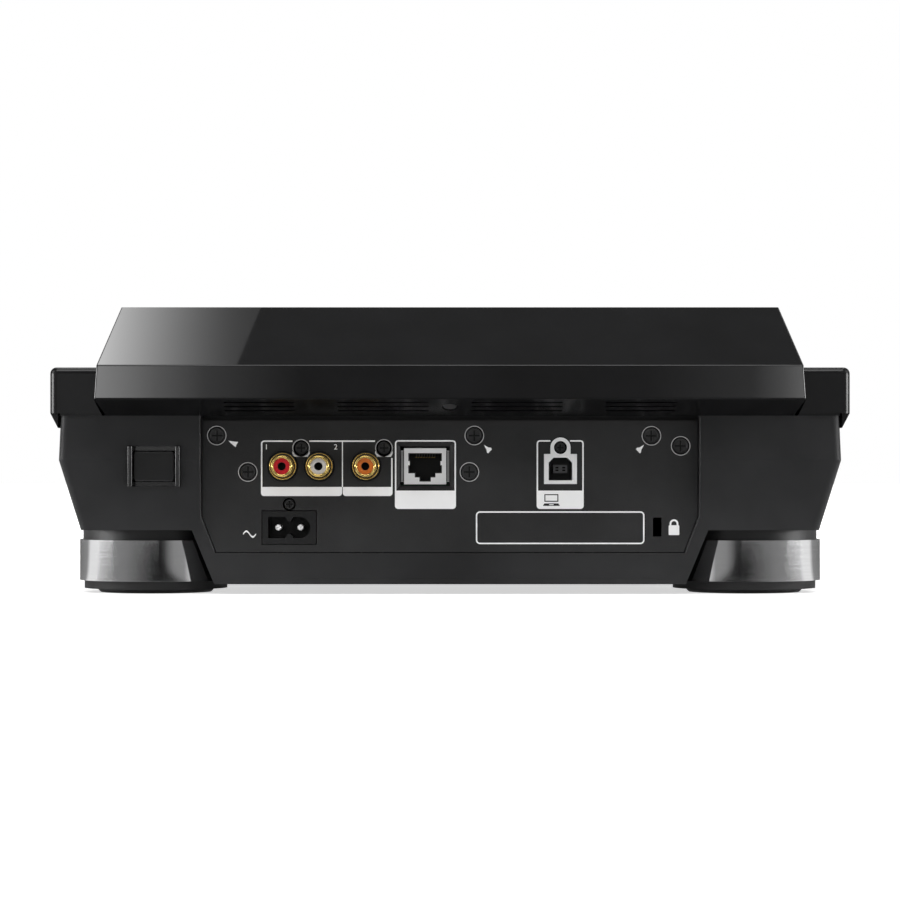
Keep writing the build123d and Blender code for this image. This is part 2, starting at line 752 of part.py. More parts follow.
def rca_block():
    """Plastic body behind the panel, with a round boss through the panel for each jack."""
    low, high = rca_orange_x - RCA_BLOCK_MARGIN, rca_red_x + RCA_BLOCK_MARGIN
    body = block((low, high), (pocket_floor - RCA_BLOCK_DEPTH, pocket_floor), (main_board_top, rca_block_top))
    for x in (rca_red_x, rca_white_x, rca_orange_x):
        body += rod_y(x, jack_row, RCA_BOSS_RADIUS, pocket_floor, rca_face)
    for x, z, _ in block_screws():
        body -= rod_y(x, z, SCREW_RADIUS + RUNNING_GAP, pocket_floor - SCREW_LENGTH - 1, pocket_floor)
    return body


def rca_sleeve(x):
    """Plated outer contact with its base flange."""
    sleeve = rod_y(x, jack_row, RCA_SLEEVE_RADIUS, rca_face, rca_tip)
    sleeve += rod_y(x, jack_row, RCA_FLANGE_RADIUS, rca_face, rca_face + RCA_FLANGE_THICKNESS)
    return sleeve - rod_y(x, jack_row, RCA_SLEEVE_RADIUS - RCA_SLEEVE_WALL, rca_face - 1, rca_tip + 1)


def rca_insert(x):
    """Coloured insulator inside a sleeve, bored for the plug's pin."""
    radius = RCA_SLEEVE_RADIUS - RCA_SLEEVE_WALL - RUNNING_GAP
    insert = rod_y(x, jack_row, radius, rca_face, rca_tip - RCA_INSERT_SINK)
    return insert - rod_y(x, jack_row, RCA_PIN_BORE_RADIUS, rca_face + RCA_BORE_FLOOR, rca_tip)


# Network jack
link_mouth = panel_face - LINK_SINK
link_port_top = jack_row + LINK_HEIGHT / 2 - LINK_PORT_SINK


def link_port(grow):
    """Stepped opening of the network jack, latch side down."""
    low = link_port_top - LINK_PORT_HEIGHT
    port = Pos(link_x, (low + link_port_top) / 2) * Rectangle(LINK_PORT_WIDTH + grow, LINK_PORT_HEIGHT + grow)
    step = low - LINK_STEP_HEIGHT
    port += Pos(link_x, (low + step) / 2) * Rectangle(LINK_STEP_WIDTH + grow, LINK_STEP_HEIGHT + grow)
    latch = step - LINK_LATCH_HEIGHT
    port += Pos(link_x, (step + latch) / 2) * Rectangle(LINK_LATCH_WIDTH + grow, LINK_LATCH_HEIGHT + grow)
    return port


def link_jack_shield():
    """Metal shell of the network jack, with a spring tab on each side."""
    box = Pos(link_x, jack_row) * Rectangle(LINK_WIDTH, LINK_HEIGHT)
    shield = along_y(box, link_mouth - LINK_DEPTH, link_mouth)
    shield -= along_y(link_port(2 * FIT_GAP), link_mouth - LINK_DEPTH + LINK_BACK_WALL, link_mouth + 1)
    for side in (-1, 1):
        inner = link_x + side * LINK_WIDTH / 2
        outer = inner + side * LINK_TAB_WIDTH
        rise = LINK_TAB_HEIGHT / 2
        tab_y = (link_mouth - FIT_GAP - LINK_TAB_LENGTH, link_mouth - FIT_GAP)
        shield += block(sorted((inner, outer)), tab_y, (jack_row - rise, jack_row + rise))
    return shield


def link_jack_insert():
    """Black liner of the network jack with its row of contact ribs."""
    back = link_mouth - LINK_DEPTH + LINK_BACK_WALL
    liner = along_y(link_port(2 * FIT_GAP), back, link_mouth - FIT_GAP)
    liner -= along_y(link_port(0), link_mouth - LINK_PORT_DEPTH, link_mouth)
    first = link_x - LINK_CONTACT_PITCH * (LINK_CONTACT_COUNT - 1) / 2
    rib = LINK_CONTACT_PITCH / 4
    for i in range(LINK_CONTACT_COUNT):
        x = first + i * LINK_CONTACT_PITCH
        rib_y = (back, link_mouth - LINK_PORT_DEPTH / 4)
        liner += block((x - rib, x + rib), rib_y, (link_port_top - LINK_CONTACT_DROP, link_port_top))
    return liner


# Square data socket
def usb_port(grow):
    """Opening of the square socket, with its two upper corners cut."""
    outline = Rectangle(USB_PORT_WIDTH, USB_PORT_HEIGHT)
    top_corners = outline.vertices().sort_by(Axis.Y)[-2:]
    outline = chamfer(top_corners, USB_PORT_CHAMFER)
    if grow:
        outline = offset(outline, grow, kind=Kind.INTERSECTION)
    return Pos(usb_x, usb_row) * outline


def usb_socket_shield():
    """Metal shell with its face plate and screw tab on the panel."""
    plate = Pos(usb_x, usb_row) * Rectangle(USB_PLATE_WIDTH, USB_PLATE_HEIGHT)
    plate += Pos(usb_x, usb_row + USB_TAB_RISE) * Circle(USB_TAB_RADIUS)
    neck = USB_TAB_RISE - USB_PLATE_HEIGHT / 2
    plate += Pos(usb_x, usb_row + USB_PLATE_HEIGHT / 2 + neck / 2) * Rectangle(2 * USB_TAB_RADIUS, neck)
    shell = along_y(plate, panel_face, panel_face + USB_PLATE_THICKNESS)
    shell += along_y(usb_port(USB_SHELL_WALL), panel_face - USB_DEPTH, panel_face + USB_PLATE_THICKNESS)
    shell -= along_y(usb_port(0), panel_face - USB_DEPTH, panel_face + 1 + USB_PLATE_THICKNESS)
    tab_hole = (panel_face - 1, panel_face + 1 + USB_PLATE_THICKNESS)
    return shell - rod_y(usb_x, usb_row + USB_TAB_RISE, USB_WELL_RADIUS, *tab_hole)


def usb_socket_insert():
    """Black inner block: a back wall that fills the shell and a tongue."""
    back = panel_face - USB_DEPTH
    body = along_y(usb_port(-RUNNING_GAP), back, back + USB_DEPTH / 4)
    tongue = Pos(usb_x, usb_row) * Rectangle(USB_TONGUE_WIDTH, USB_TONGUE_HEIGHT)
    body += along_y(tongue, back, panel_face - USB_TONGUE_SINK)
    foot = block(
        (usb_x - USB_PORT_WIDTH / 2, usb_x + USB_PORT_WIDTH / 2),
        (back - CASE_WALL, back),
        (main_board_top, usb_row + USB_PORT_HEIGHT / 2),
    )
    return body + foot


# Mains inlet
def figure_eight():
    """Opening of the mains inlet: one square end, one round end and a waist."""
    half, radius = AC_CAVITY_WIDTH / 2, AC_CAVITY_HEIGHT / 2
    outline = Pos(half / 2, 0) * Rectangle(half, AC_CAVITY_HEIGHT)
    outline += Pos(radius - half, 0) * Circle(radius)
    outline += Pos((radius - half) / 2, 0) * Rectangle(half - radius, AC_CAVITY_HEIGHT)
    for side in (-1, 1):
        edge, tip = side * radius, side * (radius - AC_WAIST)
        base, point = AC_WAIST_WIDTH / 2, AC_WAIST_TIP / 2
        outline -= Polygon((-base, edge), (base, edge), (point, tip), (-point, tip), align=None)
    return Pos(ac_x, ac_row) * outline


def ac_inlet():
    """Black inlet body, flush with the panel, standing on the supply board."""
    body = along_y(Pos(ac_x, ac_row) * Rectangle(AC_WIDTH, AC_HEIGHT), panel_face - AC_DEPTH, panel_face)
    body -= along_y(figure_eight(), panel_face - AC_CAVITY_DEPTH, panel_face + 1)
    for side in (-1, 1):
        hole = AC_PIN_RADIUS + RUNNING_GAP
        body -= rod_y(ac_x + side * AC_PIN_SPACING / 2, ac_row, hole, panel_face - AC_DEPTH - 1, panel_face)
    return body


def ac_inlet_pins():
    """Two round contact pins."""
    back = panel_face - AC_DEPTH
    tip = panel_face - AC_CAVITY_DEPTH + AC_PIN_LENGTH
    places = [ac_x + side * AC_PIN_SPACING / 2 for side in (-1, 1)]
    return [rod_y(x, ac_row, AC_PIN_RADIUS, back, tip) for x in places]


# Boards
supply_board_top = ac_row - AC_HEIGHT / 2
supply_board_bottom = supply_board_top - BOARD_THICKNESS
main_board_rear = cavity_rear - MAIN_BOARD_REAR_GAP
main_board_front = main_board_rear - MAIN_BOARD_LENGTH
supply_board_front = main_board_rear - SUPPLY_BOARD_LENGTH
main_board_left = usb_x - MAIN_BOARD_USB_SIDE
main_board_right = case_half_at(main_board_bottom) - CASE_WALL - MAIN_BOARD_SIDE_GAP
supply_board_left = supply_board_right - SUPPLY_BOARD_WIDTH


def main_board_holes():
    """Posts under the corners of the main board."""
    xs = (main_board_left + BOARD_HOLE_INSET, main_board_right - BOARD_HOLE_INSET)
    ys = (main_board_front + BOARD_HOLE_INSET, main_board_rear - BOARD_HOLE_INSET)
    return [(x, y) for x in xs for y in ys]


def supply_board_holes():
    """Posts under the corners of the supply board."""
    xs = (supply_board_left + BOARD_HOLE_INSET, supply_board_right - BOARD_HOLE_INSET)
    ys = (supply_board_front + BOARD_HOLE_INSET, main_board_rear - 2 * BOARD_HOLE_INSET - AC_DEPTH)
    return [(x, y) for x in xs for y in ys]


def main_board():
    """Main circuit board with its processor."""
    y_span = (main_board_front, main_board_rear)
    board = block((main_board_left, main_board_right), y_span, (main_board_bottom, main_board_top))
    chip_x, chip_y, chip_z = CHIP_SIZE
    middle = main_board_front + chip_y
    chip_span = (middle - chip_y / 2, middle + chip_y / 2)
    board += block((-chip_x / 2, chip_x / 2), chip_span, (main_board_top, main_board_top + chip_z))
    for x, y in corner_screws():
        board -= rod_z(x, y, BOSS_RADIUS + FIT_GAP, main_board_bottom, main_board_top)
    return board


def power_supply_board():
    """Mains supply board with its transformer and capacitor."""
    y_span = (supply_board_front, main_board_rear)
    board = block((supply_board_left, supply_board_right), y_span, (supply_board_bottom, supply_board_top))
    size_x, size_y, size_z = TRANSFORMER_SIZE
    x, y = supply_board_right - BOARD_HOLE_INSET - size_x, supply_board_front + BOARD_HOLE_INSET
    board += block((x, x + size_x), (y, y + size_y), (supply_board_top, supply_board_top + size_z))
    cap_x, cap_y = x - CAPACITOR_RADIUS - KEY_GAP, y + size_y
    board += rod_z(cap_x, cap_y, CAPACITOR_RADIUS, supply_board_top, supply_board_top + CAPACITOR_HEIGHT)
    return board


# Power button
button_face = case_rear + POWER_PROUD
guard_back = case_rear - GUARD_DEPTH
button_back = button_face - POWER_LENGTH


def power_button_guard():
    """Sleeve around the power button; its two sides stand out as guard ribs."""
    inner_x, inner_z = POWER_WIDTH / 2 + FIT_GAP, POWER_HEIGHT / 2 + FIT_GAP
    outer_x, outer_z = inner_x + GUARD_RIB, inner_z + GUARD_RIM
    face = case_rear_at(power_row - outer_z) - GUARD_SINK
    z_span = (power_row - outer_z, power_row + outer_z)
    sleeve = block((power_x - outer_x, power_x + outer_x), (guard_back, face), z_span)
    for side in (-1, 1):
        x = power_x + side * (inner_x + GUARD_RIB / 2)
        rib = Pos(x, power_row) * Rectangle(GUARD_RIB, 2 * outer_z)
        rib_solid = along_y(rib, face, case_rear + GUARD_PROUD)
        sleeve += fillet(rib_solid.faces().sort_by(Axis.Y)[-1].edges(), GUARD_RIB / 3)
    inner_span = (power_row - inner_z, power_row + inner_z)
    return sleeve - block((power_x - inner_x, power_x + inner_x), (guard_back - 1, rear), inner_span)


def power_button():
    """Rectangular push button with a softened face."""
    outline = Pos(power_x, power_row) * RectangleRounded(POWER_WIDTH, POWER_HEIGHT, KEY_CORNER_RADIUS)
    button = along_y(outline, button_back, button_face)
    button = fillet(button.faces().sort_by(Axis.Y)[-1].edges(), KEY_EDGE_RADIUS)
    plunger_tip = button_back - POWER_TRAVEL - FIT_GAP
    return button + rod_y(power_x, power_row, SWITCH_PLUNGER_RADIUS, plunger_tip, button_back)


def power_switch():
    """Push switch on the main board, with a socket for the button's plunger."""
    switch_face = button_back - POWER_TRAVEL
    half = POWER_HEIGHT / 2
    y_span = (switch_face - SWITCH_BODY_DEPTH, switch_face)
    body = block((power_x - half, power_x + half), y_span, (main_board_top, power_row + half))
    socket = (switch_face - 2 * POWER_TRAVEL, switch_face + 1)
    return body - rod_y(power_x, power_row, SWITCH_PLUNGER_RADIUS + FIT_GAP, *socket)


# Feet
def foot_pads():
    """Rubber pads: a tread disc under a wider flange."""
    pads = []
    for x, y in FEET:
        tread = rod_z(x, y, PAD_TREAD_RADIUS, 0, PAD_TREAD_HEIGHT)
        tread = chamfer(tread.edges().sort_by(Axis.Z)[0], PAD_TREAD_HEIGHT / 2)
        pads.append(tread + rod_z(x, y, PAD_FLANGE_RADIUS, PAD_TREAD_HEIGHT, pad_top))
    return pads


def foot_rings():
    """Bright metal rings around the feet."""
    rings = []
    for x, y in FEET:
        ring = rod_z(x, y, RING_RADIUS, pad_top, ring_top)
        rings.append(ring - rod_z(x, y, RING_RADIUS - RING_WALL, pad_top - 1, ring_top + 1))
    return rings


def foot_collars():
    """Plastic collars between ring and case, each with a core that fills the ring."""
    collars = []
    for x, y in FEET:
        collar = rod_z(x, y, COLLAR_RADIUS, ring_top, case_bottom)
        collar += rod_z(x, y, RING_RADIUS - RING_WALL - RUNNING_GAP, pad_top, ring_top)
        collars.append(collar - rod_z(x, y, SCREW_RADIUS + RUNNING_GAP, ring_top, case_bottom))
    return collars


def corner_screws():
    """Places of the screws that pull the deck down onto the case."""
    x = case_bottom_half - CORNER_SCREW_INSET
    ys = (foot_rear_y - CORNER_SCREW_RUN, (cue_y + search_y) / 2)
    return [(sx * x, y) for sx in (-1, 1) for y in ys]


def case_screws():
    """Corner screws from below and foot screws from inside, as separate solids."""
    screws = []
    for x, y in corner_screws():
        head_top = case_bottom + SCREW_HEAD_HEIGHT
        screw = rod_z(x, y, CORNER_SCREW_HEAD, case_bottom, head_top)
        screws.append(screw + rod_z(x, y, SCREW_RADIUS, head_top, head_top + SCREW_LENGTH))
    for x, y in FEET:
        seat = case_floor + CASE_WALL
        screw = rod_z(x, y, CORNER_SCREW_HEAD, seat, seat + SCREW_HEAD_HEIGHT)
        screws.append(screw + rod_z(x, y, SCREW_RADIUS, ring_top, seat))
    return screws


# Keys: each entry is the plane of its plate, the plate's thickness and the key's place and size
DECK = Plane(origin=(0, 0, deck_top))


def deck_keys():
    """Rectangular keys of the deck: name to X, Y and width."""
    keys = {}
    first = -cue_pitch * (HOT_CUE_COUNT - 1) / 2
    for i in range(HOT_CUE_COUNT):
        keys[f"hot_cue_key_{i + 1}"] = (first + i * cue_pitch, function_row_y, HOT_CUE_WIDTH)
    beside = first - cue_pitch / 2 - KEY_GAP - key_width / 2
    for i, name in enumerate(("loop_exit_button", "loop_out_button", "loop_in_button")):
        keys[name] = (beside - i * key_pitch, function_row_y, key_width)
    for i, name in enumerate(("sync_button", "key_lock_button")):
        keys[name] = (-beside + i * key_pitch, function_row_y, key_width)
    for row, y in (("search", search_y), ("track", track_y)):
        keys[f"{row}_back_button"] = (-column_x - key_pitch / 2, y, key_width)
        keys[f"{row}_forward_button"] = (-column_x + key_pitch / 2, y, key_width)
    return keys


def hood_keys():
    """Rectangular keys of the hood's slope: name to place across, place up the slope and width."""
    return {
        "back_button": (side_u, drive_v, HOOD_KEY_WIDTH),
        "browse_button": (-side_u, upper_key_v, HOOD_KEY_WIDTH),
        "menu_button": (-side_u, lower_key_v, HOOD_KEY_WIDTH),
    }


def round_keys():
    """Round keys of the deck: name to X and Y."""
    return {"play_button": (-column_x, play_y), "cue_button": (-column_x, cue_y)}


def key_outline(width, grow):
    """Outline of a rectangular key, grown by a gap."""
    return RectangleRounded(width + 2 * grow, KEY_DEPTH + 2 * grow, KEY_CORNER_RADIUS + grow)


def raised(plane, u, v, outline, low, high):
    """Outline placed on a plane and swept between two heights above it."""
    base = Plane(plane.from_local_coords(Vector(u, v, low)), x_dir=plane.x_dir, z_dir=plane.z_dir)
    return extrude(base * outline, high - low)


def outer_face(body, plane):
    """Face of a solid that stands farthest out from a plane."""
    return max(body.faces(), key=lambda face: plane.to_local_coords(face.center()).Z)


def key_solid(plane, plate, u, v, cap, flange, rise):
    """Key that stands through a plate: cap, retaining flange below the plate and a stem."""
    under = -plate - FIT_GAP
    body = raised(plane, u, v, cap, under, rise)
    body = fillet(outer_face(body, plane).edges(), KEY_EDGE_RADIUS)
    body += raised(plane, u, v, flange, -plate - flange_bottom, under)
    return body + raised(plane, u, v, Circle(KEY_STEM_RADIUS), -plate - stem_bottom, -plate - flange_bottom)


def tact_switch(plane, plate, u, v):
    """Small switch under a key, standing on its board."""
    outline = Rectangle(TACT_SIZE, TACT_SIZE)
    return raised(plane, u, v, outline, -plate - board_depth, -plate - tact_top)


def deck_key(name):
    x, y, width = deck_keys()[name]
    return key_solid(DECK, DECK_PLATE, x, y, key_outline(width, 0), key_outline(width, KEY_FLANGE), KEY_RISE)


def hood_key(name):
    u, v, width = hood_keys()[name]
    return key_solid(SLOPE, HOOD_WALL, u, v, key_outline(width, 0), key_outline(width, KEY_FLANGE), KEY_RISE)


def round_key(name):
    x, y = round_keys()[name]
    return key_solid(DECK, DECK_PLATE, x, y, Circle(play_radius), Circle(play_radius + KEY_FLANGE), PLAY_RISE)


# Top deck
def deck_key_holes():
    """Openings of the deck plate for its keys."""
    span = (-DECK_PLATE - 1, 1)
    holes = Part()
    for x, y, width in deck_keys().values():
        holes += raised(DECK, x, y, key_outline(width, FIT_GAP), *span)
    for x, y in round_keys().values():
        holes += raised(DECK, x, y, Circle(play_radius + FIT_GAP), *span)
    return holes


def deck_control_holes():
    """Openings of the deck plate for the jog spindle, tempo slider, feel knob and lever."""
    span = (-DECK_PLATE - 1, 1)
    holes = raised(DECK, 0, jog_y, Circle(JOG_WELL_RADIUS), *span)
    holes += raised(DECK, column_x, tempo_y, tempo_slot(), *span)
    holes += raised(DECK, column_x, feel_y, Circle(KNOB_SHAFT_RADIUS + FIT_GAP), *span)
    reach = LEVER_THICKNESS / 2 + LEVER_PIVOT_DEPTH * math.tan(math.radians(LEVER_SWING_DEG)) + 2 * FIT_GAP
    return holes + raised(DECK, -column_x, lever_y, Rectangle(LEVER_WIDTH + 4 * FIT_GAP, 2 * reach), *span)


def deck_posts():
    """Posts under the deck plate that carry the deck board."""
    posts = Part()
    for x, y in deck_board_holes():
        posts += rod_z(x, y, POST_RADIUS, deck_board_top, deck_under + DECK_PLATE / 2)
    for x, y in corner_screws():
        posts += rod_z(x, y, BOSS_RADIUS, case_top, deck_under + DECK_PLATE / 2)
    return posts


def top_deck():
    """Deck plate with its skirt, ears beside the hood and a ledge that sits on the case."""
    length, middle = ear_rear - front, (ear_rear + front) / 2
    outline = Pos(0, middle) * RectangleRounded(2 * deck_half, length, DECK_CORNER_RADIUS)
    deck = extrude(Pos(0, 0, skirt_bottom) * outline, deck_top - skirt_bottom)
    deck = fillet(deck.faces().sort_by(Axis.Z)[-1].edges(), DECK_EDGE_RADIUS)
    ledge_x, ledge_y = (-case_top_half, case_top_half), (case_front, case_rear)
    deck += block(ledge_x, ledge_y, (case_top, skirt_bottom + DECK_LEDGE_HEIGHT))
    lip_x = crease_half + FIT_GAP
    lip_bottom = skirt_bottom - DECK_LIP_DROP
    lip = Polygon((deck_half, skirt_bottom), (lip_x, lip_bottom), (lip_x, skirt_bottom), align=None)
    span = (front + DECK_CORNER_RADIUS, ear_rear - DECK_CORNER_RADIUS)
    deck += along_y(lip, *span) + along_y(mirror(lip, Plane.YZ), *span)
    deck -= deck_cavity()
    deck += deck_posts()
    deck -= along_y(hood_section(HOOD_GAP), notch_front - FIT_GAP, rear + 1)
    inner = hood_half - HOOD_RIM
    deck -= block((-inner, inner), (hood_front + HOOD_RIM, notch_front), (case_top - 1, deck_top + 1))
    deck -= deck_key_holes() + deck_control_holes()
    for x, y in corner_screws():
        deck -= rod_z(x, y, SCREW_RADIUS + RUNNING_GAP, case_top - 1, case_top + SCREW_LENGTH)
    return deck


def deck_cavity():
    """Hollow under the deck plate: the main room, and a room in each ear."""
    side = deck_half - CASE_WALL
    rim_side = case_top_half - CASE_WALL
    high = (skirt_bottom + DECK_LEDGE_HEIGHT, deck_under)
    low = (case_top - 1, skirt_bottom + DECK_LEDGE_HEIGHT)
    cavity = block((-side, side), (front + CASE_WALL, notch_front - FIT_GAP), high)
    cavity += block((-rim_side, rim_side), (case_front + CASE_WALL, notch_front - FIT_GAP), low)
    ear_inner = hood_half + HOOD_GAP + CASE_WALL
    for sign in (-1, 1):
        room = sorted((sign * ear_inner, sign * rim_side))
        cavity += block(room, (notch_front - 1, case_rear - CASE_WALL), (case_top - 1, deck_under))
    return cavity


# Screen hood
FACET = Plane(
    origin=(0, (case_rear + rear) / 2, (case_top + facet_top) / 2),
    x_dir=(1, 0, 0),
    z_dir=(0, HOOD_FACET_RISE, -HOOD_OVERHANG),
)


def hood_vents():
    """Rows of slots in the facet under the rear band."""
    slots = Part()
    span = (-HOOD_WALL - 1, 1)
    for row in range(VENT_ROWS):
        v = (row - (VENT_ROWS - 1) / 2) * VENT_PITCH - VENT_OFFSET
        for centre, length in zip(VENT_CENTRES, VENT_LENGTHS):
            for side in (-1, 1):
                slots += raised(FACET, side * centre, v, SlotOverall(length, VENT_WIDTH), *span)
    return slots


def hood_screw_hole():
    """Counterbore of the hood's fixing screw, in the middle of the vent facet."""
    hole = raised(FACET, 0, 0, Circle(SMALL_WELL_RADIUS), -SCREW_HEAD_HEIGHT, 1)
    return hole + raised(FACET, 0, 0, Circle(SCREW_RADIUS + RUNNING_GAP), -HOOD_WALL - 1, 0)


def hood_screw():
    """Fixing screw of the hood, flush in its counterbore."""
    screw = raised(FACET, 0, 0, Circle(SMALL_WELL_RADIUS - SCREW_HEAD_GAP), -SCREW_HEAD_HEIGHT, -FIT_GAP)
    return screw + raised(FACET, 0, 0, Circle(SCREW_RADIUS), -SCREW_LENGTH, -SCREW_HEAD_HEIGHT)


def hood_openings():
    """Openings in the slope for the glass, keys, knob and drive socket."""
    span = (-HOOD_WALL - 1, 1)
    glass_recess = Rectangle(glass_width + 2 * FIT_GAP, glass_length + 2 * FIT_GAP)
    holes = raised(SLOPE, 0, glass_v, glass_recess, -GLASS_THICKNESS, 1)
    window = Rectangle(glass_width - 2 * GLASS_LEDGE, glass_length - 2 * GLASS_LEDGE)
    holes += raised(SLOPE, 0, glass_v, window, *span)
    for u, v, width in hood_keys().values():
        holes += raised(SLOPE, u, v, key_outline(width, FIT_GAP), *span)
    holes += raised(SLOPE, side_u, browse_v, Circle(KNOB_SHAFT_RADIUS + FIT_GAP), *span)
    drive = Rectangle(DRIVE_WIDTH + 2 * FIT_GAP, DRIVE_HEIGHT + 2 * FIT_GAP)
    return holes + raised(SLOPE, -side_u, drive_v, drive, *span)


def hood_posts():
    """Posts under the slope that carry the two hood boards."""
    posts = Part()
    for u, v in hood_board_holes():
        posts += raised(SLOPE, u, v, Circle(POST_RADIUS), -HOOD_WALL - board_depth, -HOOD_WALL / 2)
    return posts


def slope_skin():
    """Everything from the inner face of the screen slope upward."""
    outline = Rectangle(2 * hood_half, 2 * slope_length)
    return raised(SLOPE, 0, slope_length / 2, outline, -HOOD_WALL, peak)


def hood_edge_shows(edge):
    """True for the outer edges around the hood's rear band and rear panel."""
    centre = edge.center()
    return centre.Z > facet_top - HOOD_EDGE_RADIUS and centre.Y > peak_y + HOOD_EDGE_RADIUS


def screen_hood():
    """Faceted shell: screen slope, rear panel, rear band and vent facet, open below."""
    profile = hood_profile()
    outer = along_y(hood_section(0), hood_front, rear) & across_x(profile, hood_half)
    outer = fillet([e for e in outer.edges() if hood_edge_shows(e)], HOOD_EDGE_RADIUS)
    inner_profile = offset(profile, -HOOD_WALL, kind=Kind.INTERSECTION)
    inner = along_y(hood_section(-HOOD_WALL), hood_front, rear) & across_x(inner_profile, hood_half)
    side = (HOOD_RIM - hood_half, hood_half - HOOD_RIM)
    step = notch_front + HOOD_WALL + 1
    open_front = block(side, (hood_front + HOOD_RIM, step), (deck_top - 1, deck_top + HOOD_WALL + 1))
    rear_room = (notch_front - 1, case_rear - CASE_WALL)
    open_rear = block(side, rear_room, (case_top - 1, case_top + HOOD_WALL + 1))
    open_step = block(side, (notch_front - 1, step), (case_top - 1, deck_top))
    hood = outer - inner - open_rear - open_step - (open_front - slope_skin())
    hood += hood_posts()
    hood -= hood_openings() + hood_vents() + hood_screw_hole()
    return hood


# Display and hood boards
def display_glass():
    """Cover glass, flush in the slope."""
    outline = Rectangle(glass_width, glass_length)
    return raised(SLOPE, 0, glass_v, outline, -GLASS_THICKNESS, 0)


def display_module():
    """Display panel behind the glass, seated on the inner face of the slope."""
    outline = Rectangle(glass_width - GLASS_LEDGE, glass_length - GLASS_LEDGE)
    return raised(SLOPE, 0, glass_v, outline, -HOOD_WALL - MODULE_THICKNESS, -HOOD_WALL)


def hood_board_span():
    """Lower and upper end of the hood boards, up the slope."""
    margin = KEY_DEPTH / 2 + KEY_FLANGE + 2 * POST_RADIUS + HOOD_BOARD_END
    return lower_key_v - margin, drive_v + margin


def hood_board_holes():
    """Posts at the ends of the hood boards."""
    low, high = hood_board_span()
    ends = (low + POST_RADIUS, high - POST_RADIUS)
    return [(side * side_u, v) for side in (-1, 1) for v in ends]


def hood_boards():
    """Circuit boards under the two sides of the slope, with switches and the browse encoder."""
    low, high = hood_board_span()
    outline = Rectangle(side_width, high - low)
    top = -HOOD_WALL - board_depth
    boards = []
    for side in (-1, 1):
        board = raised(SLOPE, side * side_u, (low + high) / 2, outline, top - BOARD_THICKNESS, top)
        for u, v, _ in hood_keys().values():
            if u * side > 0:
                board += tact_switch(SLOPE, HOOD_WALL, u, v)
        if side > 0:
            board += pot_body(SLOPE, HOOD_WALL, side_u, browse_v)
        boards.append(board)
    return boards


def pot_body(plane, plate, u, v):
    """Rotary encoder or potentiometer on its board, bored for the knob's shaft."""
    top = -plate - POT_TOP_GAP
    body = raised(plane, u, v, Rectangle(POT_SIZE, POT_SIZE), -plate - board_depth, top)
    bore = Circle(KNOB_SHAFT_RADIUS + RUNNING_GAP)
    return body - raised(plane, u, v, bore, -plate - board_depth + POT_FLOOR, top + 1)


def knob(plane, plate, u, v, radius, height):
    """Turned knob with a shaft into its encoder."""
    body = raised(plane, u, v, Circle(radius), KNOB_LIFT, KNOB_LIFT + height)
    body = fillet(outer_face(body, plane).edges(), KNOB_EDGE_RADIUS)
    shaft_end = -plate - board_depth + POT_FLOOR + FIT_GAP
    return body + raised(plane, u, v, Circle(KNOB_SHAFT_RADIUS), shaft_end, KNOB_LIFT)


def usb_drive_socket():
    """Upright drive socket standing on the left hood board."""
    bottom = -HOOD_WALL - board_depth
    outer = raised(SLOPE, -side_u, drive_v, Rectangle(DRIVE_WIDTH, DRIVE_HEIGHT), bottom, -DRIVE_SINK)
    mouth = Rectangle(DRIVE_WIDTH - 2 * DRIVE_WALL, DRIVE_HEIGHT - 2 * DRIVE_WALL)
    shell = outer - raised(SLOPE, -side_u, drive_v, mouth, bottom + DRIVE_FLOOR, 0)
    tongue = Rectangle(DRIVE_WIDTH - 4 * DRIVE_WALL, DRIVE_TONGUE)
    rise = DRIVE_HEIGHT / 2 - DRIVE_WALL - DRIVE_TONGUE
    return shell + raised(SLOPE, -side_u, drive_v + rise, tongue, bottom, -DRIVE_TONGUE_SINK)


# Deck board and its controls
def deck_board_holes():
    """Posts at the corners of the deck board."""
    x = column_x + column_half - POST_RADIUS
    rear_y = function_row_y - KEY_DEPTH - 2 * POST_RADIUS
    front_y = play_y - play_radius - KEY_FLANGE
    return [(sx * x, y) for sx in (-1, 1) for y in (front_y, rear_y)]


def deck_board():
    """U-shaped circuit board under the deck with all its switches, the lever's bracket and the feel pot."""
    low_y = play_y - play_radius - POST_RADIUS
    high_y = function_row_y + KEY_DEPTH / 2 + KEY_FLANGE
    span = (deck_board_top - BOARD_THICKNESS, deck_board_top)
    inner, outer = column_x - column_half, column_x + column_half
    board = block((-outer, outer), (high_y - 2 * KEY_DEPTH, high_y), span)
    for sign in (-1, 1):
        strip = sorted((sign * inner, sign * outer))
        board += block(strip, (low_y, high_y), span)
    for x, y, _ in deck_keys().values():
        board += tact_switch(DECK, DECK_PLATE, x, y)
    for x, y in round_keys().values():
        board += tact_switch(DECK, DECK_PLATE, x, y)
    board += pot_body(DECK, DECK_PLATE, column_x, feel_y)
    for x, y in corner_screws():
        board -= rod_z(x, y, BOSS_RADIUS + FIT_GAP, deck_board_top - 2 * BOARD_THICKNESS, deck_board_top)
    return board + lever_bracket()


def lever_bracket():
    """Two ears that hold the lever's pivot pin."""
    ears = Part()
    pivot = deck_top - LEVER_PIVOT_DEPTH
    for side in (-1, 1):
        inner = -column_x + side * (LEVER_WIDTH / 2 + LEVER_EAR_GAP)
        outer = inner + side * LEVER_EAR
        x_span = sorted((inner, outer))
        y_span = (lever_y - LEVER_EAR_TOP, lever_y + LEVER_EAR_TOP)
        ear = block(x_span, y_span, (deck_board_top, pivot + LEVER_EAR_TOP))
        ears += ear - rod_x(lever_y, pivot, LEVER_PIN_RADIUS + RUNNING_GAP, x_span[0] - 1, x_span[1] + 1)
    return ears


